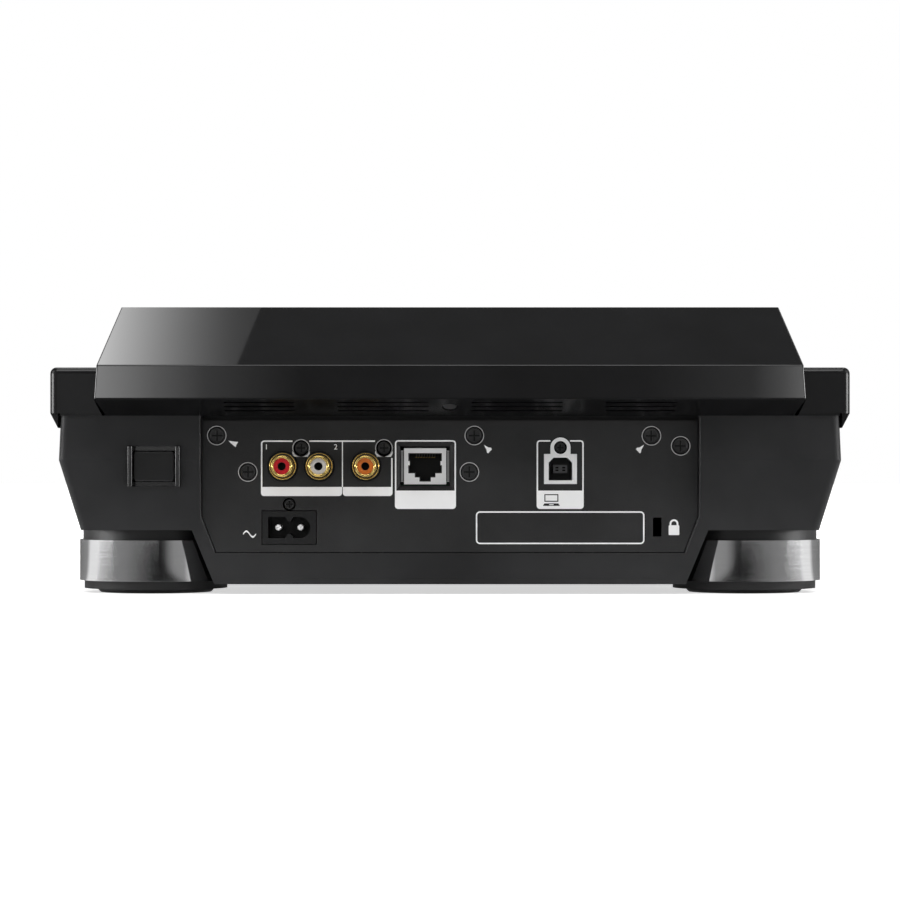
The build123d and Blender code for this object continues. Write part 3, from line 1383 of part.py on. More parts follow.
def direction_lever():
    """Toggle lever on a cross pin."""
    pivot = deck_top - LEVER_PIVOT_DEPTH
    x_span = (-column_x - LEVER_WIDTH / 2, -column_x + LEVER_WIDTH / 2)
    y_span = (lever_y - LEVER_THICKNESS / 2, lever_y + LEVER_THICKNESS / 2)
    lever = block(x_span, y_span, (pivot, deck_top + LEVER_RISE))
    lever = fillet(lever.faces().sort_by(Axis.Z)[-1].edges(), KEY_EDGE_RADIUS)
    lever += rod_x(lever_y, pivot, LEVER_THICKNESS / 2, *x_span)
    reach = LEVER_WIDTH / 2 + LEVER_EAR_GAP + LEVER_EAR
    return lever + rod_x(lever_y, pivot, LEVER_PIN_RADIUS, -column_x - reach, -column_x + reach)


def tempo_slot():
    """Slot that the tempo slider's stem runs in."""
    length = tempo_travel + TEMPO_STEM_LENGTH + 2 * TEMPO_END_GAP
    return Rectangle(TEMPO_STEM_WIDTH + 2 * TEMPO_SIDE_GAP, length)


def tempo_fader():
    """Slide potentiometer on the deck board, with a channel for the stem."""
    slot = tempo_slot().bounding_box().size
    body = Rectangle(slot.X + 2 * FADER_WALL, slot.Y + 2 * FADER_WALL)
    top = -DECK_PLATE - FADER_TOP_GAP
    bottom = -DECK_PLATE - board_depth
    fader = raised(DECK, column_x, tempo_y, body, bottom, top)
    return fader - raised(DECK, column_x, tempo_y, tempo_slot(), bottom + FADER_FLOOR, top + 1)


def tempo_slider_cap():
    """Slider cap with a centre groove and a stem."""
    top = KNOB_LIFT + TEMPO_CAP_HEIGHT
    outline = Rectangle(TEMPO_CAP_WIDTH, TEMPO_CAP_LENGTH)
    body = raised(DECK, column_x, tempo_y, outline, KNOB_LIFT, top)
    body = fillet(body.faces().sort_by(Axis.Z)[-1].edges(), KNOB_EDGE_RADIUS)
    groove = Rectangle(TEMPO_CAP_WIDTH + 1, TEMPO_GROOVE)
    body -= raised(DECK, column_x, tempo_y, groove, top - TEMPO_GROOVE / 2, top + 1)
    stem = Rectangle(TEMPO_STEM_WIDTH, TEMPO_STEM_LENGTH)
    stem_end = -DECK_PLATE - board_depth + FADER_FLOOR + FADER_STEM_GAP
    return body + raised(DECK, column_x, tempo_y, stem, stem_end, KNOB_LIFT)


# Jog wheel: heights here are above the deck's top face
plate_top = JOG_TOP_HEIGHT - JOG_PLATE_SINK
plate_bottom = plate_top - JOG_PLATE_THICKNESS
web_top = plate_bottom - JOG_TOUCH_TRAVEL - JOG_TOUCH_GAP
web_bottom = web_top - JOG_WEB
plate_radius = jog_radius - jog_rim_run - jog_rim_ledge
bearing_radius = SPINDLE_RADIUS + RUNNING_GAP + BEARING_WALL
bearing_bottom = -DECK_PLATE + SPINDLE_SHOULDER
bearing_top = bearing_bottom + BEARING_HEIGHT
display_bottom = web_top + JOG_RADIAL_GAP


def turned(points):
    """Solid of revolution about the jog wheel's axis, from radius and height points."""
    outline = Plane.XZ * Polygon(*points, align=None)
    return Pos(0, jog_y, deck_top) * revolve(outline, Axis.Z)


def jog_platter():
    """Rim, web and hub of the wheel, with finger dimples around the rim."""
    hub = bearing_radius + RUNNING_GAP
    rim_inner = jog_radius - JOG_RIM_WALL
    lip_inner = SPINDLE_RADIUS + JOG_LIP
    platter = turned(
        [
            (jog_radius, JOG_LIFT),
            (jog_radius, JOG_RIM_HEIGHT),
            (jog_radius - jog_rim_run, JOG_TOP_HEIGHT),
            (plate_radius + JOG_RADIAL_GAP, JOG_TOP_HEIGHT),
            (plate_radius + JOG_RADIAL_GAP, web_top),
            (lip_inner, web_top),
            (lip_inner, bearing_top + FIT_GAP),
            (hub, bearing_top + FIT_GAP),
            (hub, bearing_bottom),
            (hub + JOG_HUB_WALL, bearing_bottom),
            (hub + JOG_HUB_WALL, web_bottom),
            (rim_inner, web_bottom),
            (rim_inner, JOG_LIFT),
        ]
    )
    slope = math.atan2(JOG_TOP_HEIGHT - JOG_RIM_HEIGHT, jog_rim_run)
    stand_off = JOG_DIMPLE_RADIUS - JOG_DIMPLE_DEPTH
    reach = jog_radius - jog_rim_run / 2 + stand_off * math.sin(slope)
    height = (JOG_TOP_HEIGHT + JOG_RIM_HEIGHT) / 2 + stand_off * math.cos(slope)
    for i in range(JOG_DIMPLES):
        turn = Pos(0, jog_y, deck_top) * Rot(0, 0, 360 * i / JOG_DIMPLES)
        platter -= turn * Pos(reach, 0, height) * Sphere(JOG_DIMPLE_RADIUS)
    return platter


def jog_top_plate():
    """Touch plate of the wheel, a flat ring that sinks a little under the hand."""
    inner = jog_display_radius + JOG_RADIAL_GAP
    return turned(
        [(inner, plate_bottom), (plate_radius, plate_bottom), (plate_radius, plate_top), (inner, plate_top)]
    )


def jog_bearing():
    """Plain bearing ring on the spindle's shoulder."""
    inner = SPINDLE_RADIUS + RUNNING_GAP
    return turned(
        [
            (inner, bearing_bottom),
            (bearing_radius, bearing_bottom),
            (bearing_radius, bearing_top),
            (inner, bearing_top),
        ]
    )


def jog_spindle():
    """Fixed spindle on a base plate under the deck."""
    shoulder = SPINDLE_RADIUS + BEARING_WALL / 2
    return turned(
        [
            (0, -DECK_PLATE - SPINDLE_BASE_THICKNESS),
            (SPINDLE_BASE_RADIUS, -DECK_PLATE - SPINDLE_BASE_THICKNESS),
            (SPINDLE_BASE_RADIUS, -DECK_PLATE),
            (shoulder, -DECK_PLATE),
            (shoulder, bearing_bottom),
            (SPINDLE_RADIUS, bearing_bottom),
            (SPINDLE_RADIUS, display_bottom),
            (0, display_bottom),
        ]
    )


def jog_display():
    """Round display in the middle of the wheel, fixed on top of the spindle."""
    return turned(
        [
            (0, display_bottom),
            (jog_display_radius, display_bottom),
            (jog_display_radius, JOG_TOP_HEIGHT - KEY_EDGE_RADIUS),
            (jog_display_radius - KEY_EDGE_RADIUS, JOG_TOP_HEIGHT),
            (0, JOG_TOP_HEIGHT),
        ]
    )


def all_parts():
    """Every node of the assembly: name to its solids."""
    parts = {
        "lower_case": lower_case(),
        "top_deck": top_deck(),
        "screen_hood": screen_hood(),
        "rear_jack_panel": rear_jack_panel(),
        "panel_screws": panel_screws(),
        "case_screws": case_screws() + [hood_screw()],
        "power_button_guard": power_button_guard(),
        "power_button": power_button(),
        "power_switch": power_switch(),
        "rca_block": rca_block(),
        "rca_sleeves": [rca_sleeve(x) for x in (rca_red_x, rca_white_x, rca_orange_x)],
        "rca_red_insert": rca_insert(rca_red_x),
        "rca_white_insert": rca_insert(rca_white_x),
        "rca_orange_insert": rca_insert(rca_orange_x),
        "link_jack_shield": link_jack_shield(),
        "link_jack_insert": link_jack_insert(),
        "usb_socket_shield": usb_socket_shield(),
        "usb_socket_insert": usb_socket_insert(),
        "ac_inlet": ac_inlet(),
        "ac_inlet_pins": ac_inlet_pins(),
        "main_board": main_board(),
        "power_supply_board": power_supply_board(),
        "foot_pads": foot_pads(),
        "foot_rings": foot_rings(),
        "foot_collars": foot_collars(),
        "display_glass": display_glass(),
        "display_module": display_module(),
        "hood_boards": hood_boards(),
        "usb_drive_socket": usb_drive_socket(),
        "deck_board": deck_board(),
        "tempo_fader": tempo_fader(),
        "tempo_slider_cap": tempo_slider_cap(),
        "jog_spindle": jog_spindle(),
        "jog_bearing": jog_bearing(),
        "jog_display": jog_display(),
        "jog_platter": jog_platter(),
        "jog_top_plate": jog_top_plate(),
        "browse_knob": knob(SLOPE, HOOD_WALL, side_u, browse_v, BROWSE_RADIUS, BROWSE_HEIGHT),
        "jog_feel_knob": knob(DECK, DECK_PLATE, column_x, feel_y, FEEL_RADIUS, FEEL_HEIGHT),
        "direction_lever": direction_lever(),
    }
    parts.update({name: deck_key(name) for name in deck_keys()})
    parts.update({name: hood_key(name) for name in hood_keys()})
    parts.update({name: round_key(name) for name in round_keys()})
    return parts


def main():
    os.makedirs("parts", exist_ok=True)
    for name, shape in all_parts().items():
        solids = shape if isinstance(shape, list) else [shape]
        export_step(Compound(children=[s for piece in solids for s in piece.solids()]), f"parts/{name}.step")


if __name__ == "__main__":
    main()
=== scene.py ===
import json
import math

import bmesh
import bpy
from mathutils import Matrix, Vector

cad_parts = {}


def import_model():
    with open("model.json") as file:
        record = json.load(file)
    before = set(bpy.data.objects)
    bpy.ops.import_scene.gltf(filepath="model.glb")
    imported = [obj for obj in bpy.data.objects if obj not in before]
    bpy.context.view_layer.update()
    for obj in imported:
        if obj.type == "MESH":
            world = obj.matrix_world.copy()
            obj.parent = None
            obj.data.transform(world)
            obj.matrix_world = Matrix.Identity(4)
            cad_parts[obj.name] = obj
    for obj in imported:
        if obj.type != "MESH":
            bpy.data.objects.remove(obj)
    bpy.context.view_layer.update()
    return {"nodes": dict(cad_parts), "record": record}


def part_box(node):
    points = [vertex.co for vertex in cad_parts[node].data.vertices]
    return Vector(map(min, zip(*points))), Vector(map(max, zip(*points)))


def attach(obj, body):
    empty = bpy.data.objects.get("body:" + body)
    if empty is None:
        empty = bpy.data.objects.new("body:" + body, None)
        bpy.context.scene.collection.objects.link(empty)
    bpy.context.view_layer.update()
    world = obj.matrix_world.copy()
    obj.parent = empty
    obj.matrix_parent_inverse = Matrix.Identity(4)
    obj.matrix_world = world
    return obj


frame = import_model()

# Lengths are millimetres in the part's frame, and metres in the studio; Blender works in metres
MM = 0.001
ROOT = "player"
PRINT_THICKNESS = 0.06
FOIL_THICKNESS = 0.03


# Flat faces to draw on
class Sheet:
    """Flat face: its origin in metres, and the directions that read as right and up."""

    def __init__(self, origin, right, up):
        self.origin = Vector(origin)
        self.right = Vector(right).normalized()
        self.up = Vector(up).normalized()
        self.out = self.right.cross(self.up)

    def point(self, x, y, lift=0.0):
        """Place on the sheet, in metres, from millimetres."""
        return self.origin + (self.right * x + self.up * y + self.out * lift) * MM


def joint(name):
    """Joint of the record by name."""
    return next(j for j in frame["record"]["behaviour"]["joints"] if j["name"] == name)


def mount(name):
    """Place of a mount of the record, in millimetres."""
    item = next(m for m in frame["record"]["mounts"] if m["name"] == name)
    return [c / MM for c in item["pos_m"]]


def middle(node):
    """Centre of a node's box, in millimetres."""
    low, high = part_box(node)
    return [(a + b) / 2 / MM for a, b in zip(low, high)]


def span(node):
    """Size of a node's box, in millimetres."""
    low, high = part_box(node)
    return [(b - a) / MM for a, b in zip(low, high)]


def on_sheet(sheet, node):
    """Middle of a node as it lies on a sheet, in millimetres."""
    offset = (Vector(middle(node)) * MM - sheet.origin) / MM
    return offset.dot(sheet.right), offset.dot(sheet.up)


def height_on(sheet, node):
    """Highest level of a deck node above a sheet, in millimetres."""
    return (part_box(node)[1][2] - sheet.origin.z) / MM


panel_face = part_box("rear_jack_panel")[1][1]
deck_top = joint("jog_spin")["pos_m"][2]
slope_normal = Vector(joint("browse_turn")["axis"])
REAR = Sheet((0, panel_face, 0), (-1, 0, 0), (0, 0, 1))
DECK = Sheet((0, 0, deck_top), (1, 0, 0), (0, 1, 0))
SLOPE = Sheet(joint("browse_turn")["pos_m"], (1, 0, 0), slope_normal.cross(Vector((1, 0, 0))))


# Materials
DRIFT_SIZE = 24.0
RING_SIZE = 0.25
GROOVE_SIZE = 0.3
UNDERSIDE = -0.3
BLACK, WHITE = (0, 0, 0, 1), (1, 1, 1, 1)
MATERIALS = {}


class Nodes:
    """Helper around a node tree."""

    def __init__(self, tree):
        self.tree = tree

    def node(self, kind, **settings):
        item = self.tree.nodes.new(kind)
        for key, value in settings.items():
            setattr(item, key, value)
        return item

    def link(self, source, target):
        self.tree.links.new(source, target)

    def split(self, vector):
        """X, Y and Z of a vector."""
        item = self.node("ShaderNodeSeparateXYZ")
        self.link(vector, item.inputs["Vector"])
        return [item.outputs[axis] for axis in "XYZ"]

    def tones(self, factor, stops):
        """Colour that runs through stops of place and tone."""
        item = self.node("ShaderNodeValToRGB")
        points = item.color_ramp.elements
        while len(points) < len(stops):
            points.new(0.5)
        for point, (place, tone) in zip(points, stops):
            point.position = place
            point.color = (*tone, 1)
        self.link(factor, item.inputs["Fac"])
        return item.outputs["Color"]

    def ramp(self, factor, low, high, low_at=0.3, high_at=0.7):
        """Colour that runs between two tones."""
        return self.tones(factor, [(low_at, low), (high_at, high)])

    def scale(self, factor, start, stop, low, high, **settings):
        """Number that runs between two values as the factor runs from start to stop."""
        item = self.node("ShaderNodeMapRange", **settings)
        for socket, value in (("From Min", start), ("From Max", stop), ("To Min", low), ("To Max", high)):
            item.inputs[socket].default_value = value
        self.link(factor, item.inputs["Value"])
        return item.outputs["Result"]

    def math(self, operation, first, second=0.0):
        """One arithmetic step; each side is a socket or a number."""
        item = self.node("ShaderNodeMath", operation=operation)
        for socket, value in zip(item.inputs, (first, second)):
            if isinstance(value, (int, float)):
                socket.default_value = value
            else:
                self.link(value, socket)
        return item.outputs["Value"]

    def distance(self, across, along):
        """Straight way that goes this far across and along."""
        squares = [self.math("MULTIPLY", side, side) for side in (across, along)]
        return self.math("SQRT", self.math("ADD", *squares))

    def seen(self):
        """1 for camera, glossy and transmission rays."""
        path = self.node("ShaderNodeLightPath")
        total = self.math("MAXIMUM", path.outputs["Is Camera Ray"], path.outputs["Is Glossy Ray"])
        return self.math("MAXIMUM", total, path.outputs["Is Transmission Ray"])


class Graph(Nodes):
    """Node tree of one material."""

    def __init__(self, name):
        self.material = bpy.data.materials.new(name)
        self.material.use_nodes = True
        super().__init__(self.material.node_tree)
        self.shader = self.tree.nodes["Principled BSDF"]
        self.place = self.node("ShaderNodeTexCoord").outputs["Object"]

    def shade(self, socket, source):
        """Feed a socket of the shader."""
        self.link(source, self.shader.inputs[socket])

    def set(self, **values):
        """Constants on the shader's own sockets."""
        for key, value in values.items():
            self.shader.inputs[key.replace("_", " ")].default_value = value

    def noise(self, size, detail=2.0, stretch=None):
        """Noise with features of a size in millimetres, perhaps stretched along the axes."""
        item = self.node("ShaderNodeTexNoise")
        item.inputs["Scale"].default_value = 1.0 / (size * MM)
        item.inputs["Detail"].default_value = detail
        place = self.place
        if stretch:
            mapping = self.node("ShaderNodeMapping")
            mapping.inputs["Scale"].default_value = stretch
            self.link(self.place, mapping.inputs["Vector"])
            place = mapping.outputs["Vector"]
        self.link(place, item.inputs["Vector"])
        return item.outputs["Fac"]

    def drift(self, factor, low, high):
        """Number that follows a noise between two values."""
        return self.scale(factor, 0.3, 0.7, low, high)

    def bump(self, height, depth):
        """Relief of a given depth in millimetres."""
        item = self.node("ShaderNodeBump")
        item.inputs["Strength"].default_value = 1.0
        item.inputs["Distance"].default_value = depth * MM
        self.link(height, item.inputs["Height"])
        self.shade("Normal", item.outputs["Normal"])


def surface(name, colour, roughness, spread=0.2, grain=0.4, relief=0.0, metal=0.0, level=0.5):
    """Plastic, paint or metal whose tone and gloss drift a little, perhaps with a moulded grain."""
    graph = Graph(name)
    patch = graph.noise(DRIFT_SIZE, 3.0)
    low = [c * (1 - spread) for c in colour]
    high = [min(1.0, c * (1 + spread)) for c in colour]
    graph.shade("Base Color", graph.ramp(patch, low, high))
    fine = graph.noise(grain, 3.0)
    graph.shade("Roughness", graph.drift(fine, roughness * 0.9, roughness * 1.12))
    if relief:
        graph.bump(fine, relief)
    graph.set(Metallic=metal, Specular_IOR_Level=level)
    MATERIALS[name] = graph.material
    return graph.material


def ink(name, tone, spread=0.2):
    """Matt grey paint for print; some of it is also painted shade."""
    return surface(name, [tone] * 3, 0.5, spread=spread, grain=0.2, relief=0.004)


def turned_metal(name, colour, roughness):
    """Metal turned on a lathe about an upright axis: fine rings one above the other."""
    graph = Graph(name)
    rings = graph.noise(RING_SIZE, 2.0, stretch=(0.01, 0.01, 1.0))
    graph.shade("Base Color", graph.ramp(rings, [c * 0.94 for c in colour], colour))
    graph.shade("Roughness", graph.drift(rings, roughness * 0.8, roughness * 1.25))
    graph.bump(rings, 0.0003)
    graph.set(Metallic=1.0)
    return graph.material


def spun_plate(name, colour, roughness, centre):
    """Disc turned flat: fine rings around its own centre."""
    graph = Graph(name)
    x, y, _ = graph.split(graph.place)
    across = graph.math("SUBTRACT", x, centre[0] * MM)
    along = graph.math("SUBTRACT", y, centre[1] * MM)
    item = graph.node("ShaderNodeTexNoise", noise_dimensions="1D")
    item.inputs["Scale"].default_value = 1.0 / (GROOVE_SIZE * MM)
    item.inputs["Detail"].default_value = 3.0
    graph.link(graph.distance(across, along), item.inputs["W"])
    rings = item.outputs["Fac"]
    graph.shade("Base Color", graph.ramp(rings, [c * 0.75 for c in colour], colour))
    graph.shade("Roughness", graph.drift(rings, roughness * 0.8, roughness * 1.2))
    graph.bump(rings, 0.006)
    graph.set(Metallic=0.85)
    return graph.material


def hood_gloss():
    """High-gloss black skin; faces that look down are moulded matt, and their reflection is turned down as
    painted shade.
    """
    graph = Graph("hood_gloss")
    normal = graph.node("ShaderNodeNewGeometry").outputs["True Normal"]
    down = graph.math("LESS_THAN", graph.split(normal)[2], UNDERSIDE)
    haze = graph.drift(graph.noise(9.0, 4.0), 0.015, 0.03)
    graph.shade("Roughness", graph.math("MAXIMUM", haze, graph.math("MULTIPLY", down, 0.24)))
    tone = graph.ramp(graph.noise(30.0, 2.0), (0.004, 0.004, 0.0042), (0.0065, 0.0065, 0.007))
    graph.shade("Base Color", tone)
    # Painted shade: faces that look down reflect less, so they stay dark.
    graph.shade("Specular IOR Level", graph.math("SUBTRACT", 0.5, graph.math("MULTIPLY", down, 0.3)))
    return graph.material


def lamp_glow(name, colour, strength, level=0.0):
    """Lit translucent plastic with a slightly uneven glow."""
    graph = Graph(name)
    patch = graph.noise(2.5, 2.0)
    low = [c * 0.75 for c in colour]
    for socket in ("Base Color", "Emission Color"):
        graph.shade(socket, graph.ramp(patch, low, colour))
    graph.set(Emission_Strength=strength, Roughness=0.35, Specular_IOR_Level=level)
    return graph.material


def screen_glass():
    """Dark tinted cover glass with faint smears."""
    graph = Graph("screen_glass")
    graph.shade("Roughness", graph.drift(graph.noise(14.0, 4.0), 0.015, 0.06))
    tint = graph.ramp(graph.noise(40.0), (0.42, 0.43, 0.45), (0.5, 0.51, 0.53))
    graph.shade("Base Color", tint)
    graph.set(Transmission_Weight=1.0, IOR=1.45)
    return graph.material


surface("case_plastic", (0.019, 0.019, 0.02), 0.5, grain=0.35, relief=0.02, level=0.3)
surface("deck_plastic", (0.008, 0.008, 0.0084), 0.2, grain=0.3, relief=0.004, level=0.25)
surface("panel_paint", (0.022, 0.022, 0.0225), 0.55, grain=0.45, relief=0.03, level=0.3)
surface("black_screw", (0.026, 0.026, 0.0265), 0.32, grain=0.6, relief=0.004)
surface("black_plastic", (0.008, 0.008, 0.0085), 0.4, grain=0.4, relief=0.01)
surface("guard_plastic", (0.006, 0.006, 0.0065), 0.16, grain=0.5, relief=0.002)
surface("gold_plate", (0.86, 0.62, 0.2), 0.1, spread=0.05, grain=1.5, metal=0.9)
surface("red_plastic", (0.45, 0.006, 0.014), 0.35, grain=0.5, relief=0.004, level=0.25)
surface("white_plastic", (0.5, 0.48, 0.46), 0.3, spread=0.06, grain=0.5, relief=0.004)
surface("orange_plastic", (0.55, 0.13, 0.004), 0.3, grain=0.5, relief=0.004)
surface("bright_shield", (0.88, 0.88, 0.88), 0.36, spread=0.06, grain=0.5, relief=0.004, metal=0.25)
surface("board_green", (0.012, 0.07, 0.03), 0.35, grain=0.9, relief=0.02)
surface("pad_rubber", (0.02, 0.02, 0.0205), 0.62, grain=0.5, relief=0.03, level=0.3)
surface("display_panel", (0.006, 0.007, 0.01), 0.12, grain=0.6)
surface("control_plastic", (0.02, 0.02, 0.021), 0.42, grain=0.3, relief=0.012)
surface("key_plastic", (0.045, 0.045, 0.047), 0.4, grain=0.3, relief=0.008)
surface("round_key_plastic", (0.03, 0.03, 0.031), 0.36, grain=0.3, relief=0.008)
surface("jog_rim", (0.02, 0.02, 0.021), 0.3, grain=0.4, relief=0.008)
jog_centre = (0.0, joint("jog_spin")["pos_m"][1] / MM)
MATERIALS["hood_gloss"] = hood_gloss()
MATERIALS["ring_metal"] = turned_metal("ring_metal", (0.56, 0.56, 0.565), 0.075)
MATERIALS["display_glass"] = screen_glass()
MATERIALS["jog_plate"] = spun_plate("jog_plate", (0.11, 0.11, 0.115), 0.3, jog_centre)
PRINT_WHITE = ink("print_white", 0.93, 0.05)
# Grey print; the same grey is painted shade on the network jack's set-back spring tabs.
GREY_PRINT_AND_SHADE = ink("grey_print_and_shade", 0.22, 0.08)
# Black print; the same black is painted shade lining the phono jacks' bores.
BLACK_PRINT_AND_SHADE = ink("black_print_and_shade", 0.012)
RING_GREY = ink("ring_grey", 0.4, 0.08)
# Dull near-black for painted shade in recesses: screw wells, socket slots and the gaps beside the jack's
# springs.
SHADE_BLACK = surface("painted_shade_black", (0.002, 0.002, 0.002), 0.9, grain=0.2, level=0.0)
CROSS_SHADE = surface("cross_shade", (0.016, 0.016, 0.016), 0.6, grain=0.2, level=0.2)
LED_GREEN = lamp_glow("led_green", (0.05, 0.9, 0.22), 1.6)
LED_AMBER = lamp_glow("led_amber", (1.0, 0.36, 0.02), 1.6)
LED_RED = lamp_glow("led_red", (0.95, 0.03, 0.03), 1.4)
LED_BLUE = lamp_glow("led_blue", (0.06, 0.3, 1.0), 1.4)
LED_WHITE = lamp_glow("led_white", (0.8, 0.85, 0.9), 1.0)
SCREEN_BACK = lamp_glow("screen_back", (0.012, 0.016, 0.03), 0.7)
JOG_BACK = lamp_glow("jog_back", (0.012, 0.016, 0.03), 0.7, level=0.3)

SLOTS = {row["node"]: row["material_slot"] for row in frame["record"]["subparts"]}
for node, slot in SLOTS.items():
    holder = frame["nodes"][node]
    holder.data.materials.clear()
    holder.data.materials.append(MATERIALS[slot])


# Outlines on a sheet, in millimetres
def arc(x, y, radius, start, stop, steps=8):
    """Points along part of a circle, in degrees."""
    turns = [math.radians(start + (stop - start) * i / steps) for i in range(steps + 1)]
    return [(x + radius * math.cos(t), y + radius * math.sin(t)) for t in turns]


def rounded(x, y, width, height, radius, steps=6):
    """Closed outline of a rectangle with round corners, about its centre."""
    points = []
    for quarter, (sx, sy) in enumerate(((1, 1), (-1, 1), (-1, -1), (1, -1))):
        cx, cy = x + sx * (width / 2 - radius), y + sy * (height / 2 - radius)
        points += arc(cx, cy, radius, 90 * quarter, 90 * quarter + 90, steps)
    return points


def round_outline(x, y, radius, steps=48):
    """Closed circle."""
    return arc(x, y, radius, 0, 360, steps)[:-1]


def framed(x, y, width, height, radius, line):
    """Line of a given width along a rounded rectangle, as a pair of outlines."""
    inner = rounded(x, y, width - 2 * line, height - 2 * line, max(0.05, radius - line))
    return rounded(x, y, width, height, radius), inner


def ringed(x, y, radius, line):
    """Line of a given width along a circle, as a pair of outlines."""
    return round_outline(x, y, radius), round_outline(x, y, radius - line)


def bend(x, y, radius, line, start):
    """Quarter of a rounded frame's line about the centre of its corner."""
    return arc(x, y, radius, start, start + 90) + arc(x, y, radius - line, start + 90, start)


def label_band(left, right, top, bottom, radius):
    """Label band: square above, rounded corners below."""
    low = arc(left + radius, bottom + radius, radius, 180, 270)
    low += arc(right - radius, bottom + radius, radius, 270, 360)
    return [(right, top), (left, top)] + low


def bar(x0, y0, x1, y1):
    """Rectangle between two corners."""
    return [(x0, y0), (x1, y0), (x1, y1), (x0, y1)]


def cross(x, y, reach, half):
    """Outline of a cross."""
    quarter = [(reach, -half), (reach, half), (half, half)]
    points = []
    for _ in range(4):
        points += quarter
        quarter = [(-v, u) for u, v in quarter]
    return [(x + u, y + v) for u, v in points]


def pointer(x, y, size, turn=0.0):
    """Triangle that points right, or turned by degrees."""
    points = [(-0.45, -0.5), (0.45, 0.0), (-0.45, 0.5)]
    c, s = math.cos(math.radians(turn)), math.sin(math.radians(turn))
    return [(x + size * (px * c - py * s), y + size * (px * s + py * c)) for px, py in points]


# Pieces
def put(name, data):
    """New object in the scene."""
    item = bpy.data.objects.new(name, data)
    bpy.context.scene.collection.objects.link(item)
    return item


def add_piece(name, mesh, material, body=ROOT):
    """New object in the part's frame that rides on a body."""
    piece = put(name, mesh)
    piece.data.materials.append(material)
    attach(piece, body)
    return piece


def inlay(name, sheet, shapes, material, body=ROOT, lift=0.0, thickness=PRINT_THICKNESS):
    """Thin raised piece made of closed outlines; a pair of outlines is the band between them."""
    drawing = bmesh.new()
    for shape in shapes:
        if isinstance(shape, tuple):
            outer, inner = [[drawing.verts.new(sheet.point(*p, lift)) for p in loop] for loop in shape]
            for i in range(len(outer)):
                k = (i + 1) % len(outer)
                drawing.faces.new((outer[i], outer[k], inner[k], inner[i]))
        else:
            drawing.faces.new([drawing.verts.new(sheet.point(*p, lift)) for p in shape])
    raised = bmesh.ops.extrude_face_region(drawing, geom=drawing.faces[:])
    moved = [item for item in raised["geom"] if isinstance(item, bmesh.types.BMVert)]
    bmesh.ops.translate(drawing, verts=moved, vec=sheet.out * thickness * MM)
    bmesh.ops.recalc_face_normals(drawing, faces=drawing.faces[:])
    mesh = bpy.data.meshes.new(name)
    drawing.to_mesh(mesh)
    drawing.free()
    return add_piece(name, mesh, material, body)


def numeral(name, sheet, text, x, y, height, material, body=ROOT, lift=0.0):
    """Plain number printed on a sheet, centred on a place."""
    letters = bpy.data.curves.new(name, "FONT")
    letters.body = text
    letters.size = height * MM * 1.4
    letters.align_x = letters.align_y = "CENTER"
    letters.extrude = PRINT_THICKNESS * MM / 2
    holder = bpy.data.objects.new(name, letters)
    mesh = bpy.data.meshes.new_from_object(holder)
    bpy.data.objects.remove(holder)
    for vertex in mesh.vertices:
        across, up, out = vertex.co / MM
        vertex.co = sheet.point(x + across, y + up, lift + out + PRINT_THICKNESS / 2)
    mesh.name = name
    return add_piece(name, mesh, material, body)


def turned(name, places, profile, material, around=64, smooth=True):
    """Turned pieces on the jack panel: a profile of radius and height around each place."""
    points, faces = [], []
    rows = len(profile)
    for x, y in places:
        start = len(points)
        for i in range(around):
            turn = 2 * math.pi * i / around
            c, s = math.cos(turn), math.sin(turn)
            points += [REAR.point(x + r * c, y + r * s, rise) for r, rise in profile]
        for i in range(around):
            here, there = start + i * rows, start + (i + 1) % around * rows
            faces += [(here + k, there + k, there + k + 1, here + k + 1) for k in range(rows - 1)]
    mesh = bpy.data.meshes.new(name)
    mesh.from_pydata(points, [], faces)
    mesh.polygons.foreach_set("use_smooth", [smooth] * len(faces))
    return add_piece(name, mesh, material)


def bead(radius, half_width, rise, lift, across=8):
    """Half-round profile of a bead along a circle."""
    tilts = [math.pi * k / across for k in range(across + 1)]
    return [(radius + half_width * math.cos(t), lift + rise * math.sin(t)) for t in tilts]


def dome(radius, rise, lift, across=6):
    """Profile of a rounded end, down to a tiny flat."""
    tilts = [math.pi / 2 * k / across for k in range(across + 1)]
    return [(max(0.02, radius * math.cos(t)), lift + rise * math.sin(t)) for t in tilts]


# Prints of the jack panel: frames are placed by the part's X, signs by the sheet's right, which is -X
FRAME_LINE, FRAME_CORNER = 0.55, 1.3
LINK_SIDES, COMPUTER_SIDES, COMPUTER_GAP = (21.3, -2.3), (-33.5, -51.7), (-38.8, -46.4)
PLATE = (42.6, 25.85, 65.2, 12.7, 1.6)
PADLOCK, LAPTOP, MAINS_WAVE = (86.6, 26.2), (39.2, 36.5), (-77.5, 23.4)
NUMBER_LEVEL, NUMBER_HEIGHT = 57.0, 2.1

# Arrow beside a screw, from its tip
STEEP_DART = [(0, 0), (1.0, -1.9), (1.2, -3.0), (1.6, -3.3), (3.1, -1.7), (2.7, -1.1), (1.7, -1.0)]
FLAT_DART = [(0, 0), (1.3, -1.3), (2.8, -2.5), (3.1, -1.6), (3.8, -0.5), (1.5, -0.25)]


def panel_print(name, shapes, material=PRINT_WHITE, layer=0):
    """Print on the jack panel, on top of so many others."""
    inlay(name, REAR, shapes, material, lift=layer * PRINT_THICKNESS)


def dart(x, y, outline, side=1):
    """Arrow that points up to the left, or mirrored."""
    return [(x + side * u, y + v) for u, v in outline]


def top_line(stops, top):
    """Top line of a frame, in pieces between pairs of stops."""
    return [bar(-a, top - FRAME_LINE, -b, top) for a, b in zip(stops[0::2], stops[1::2])]


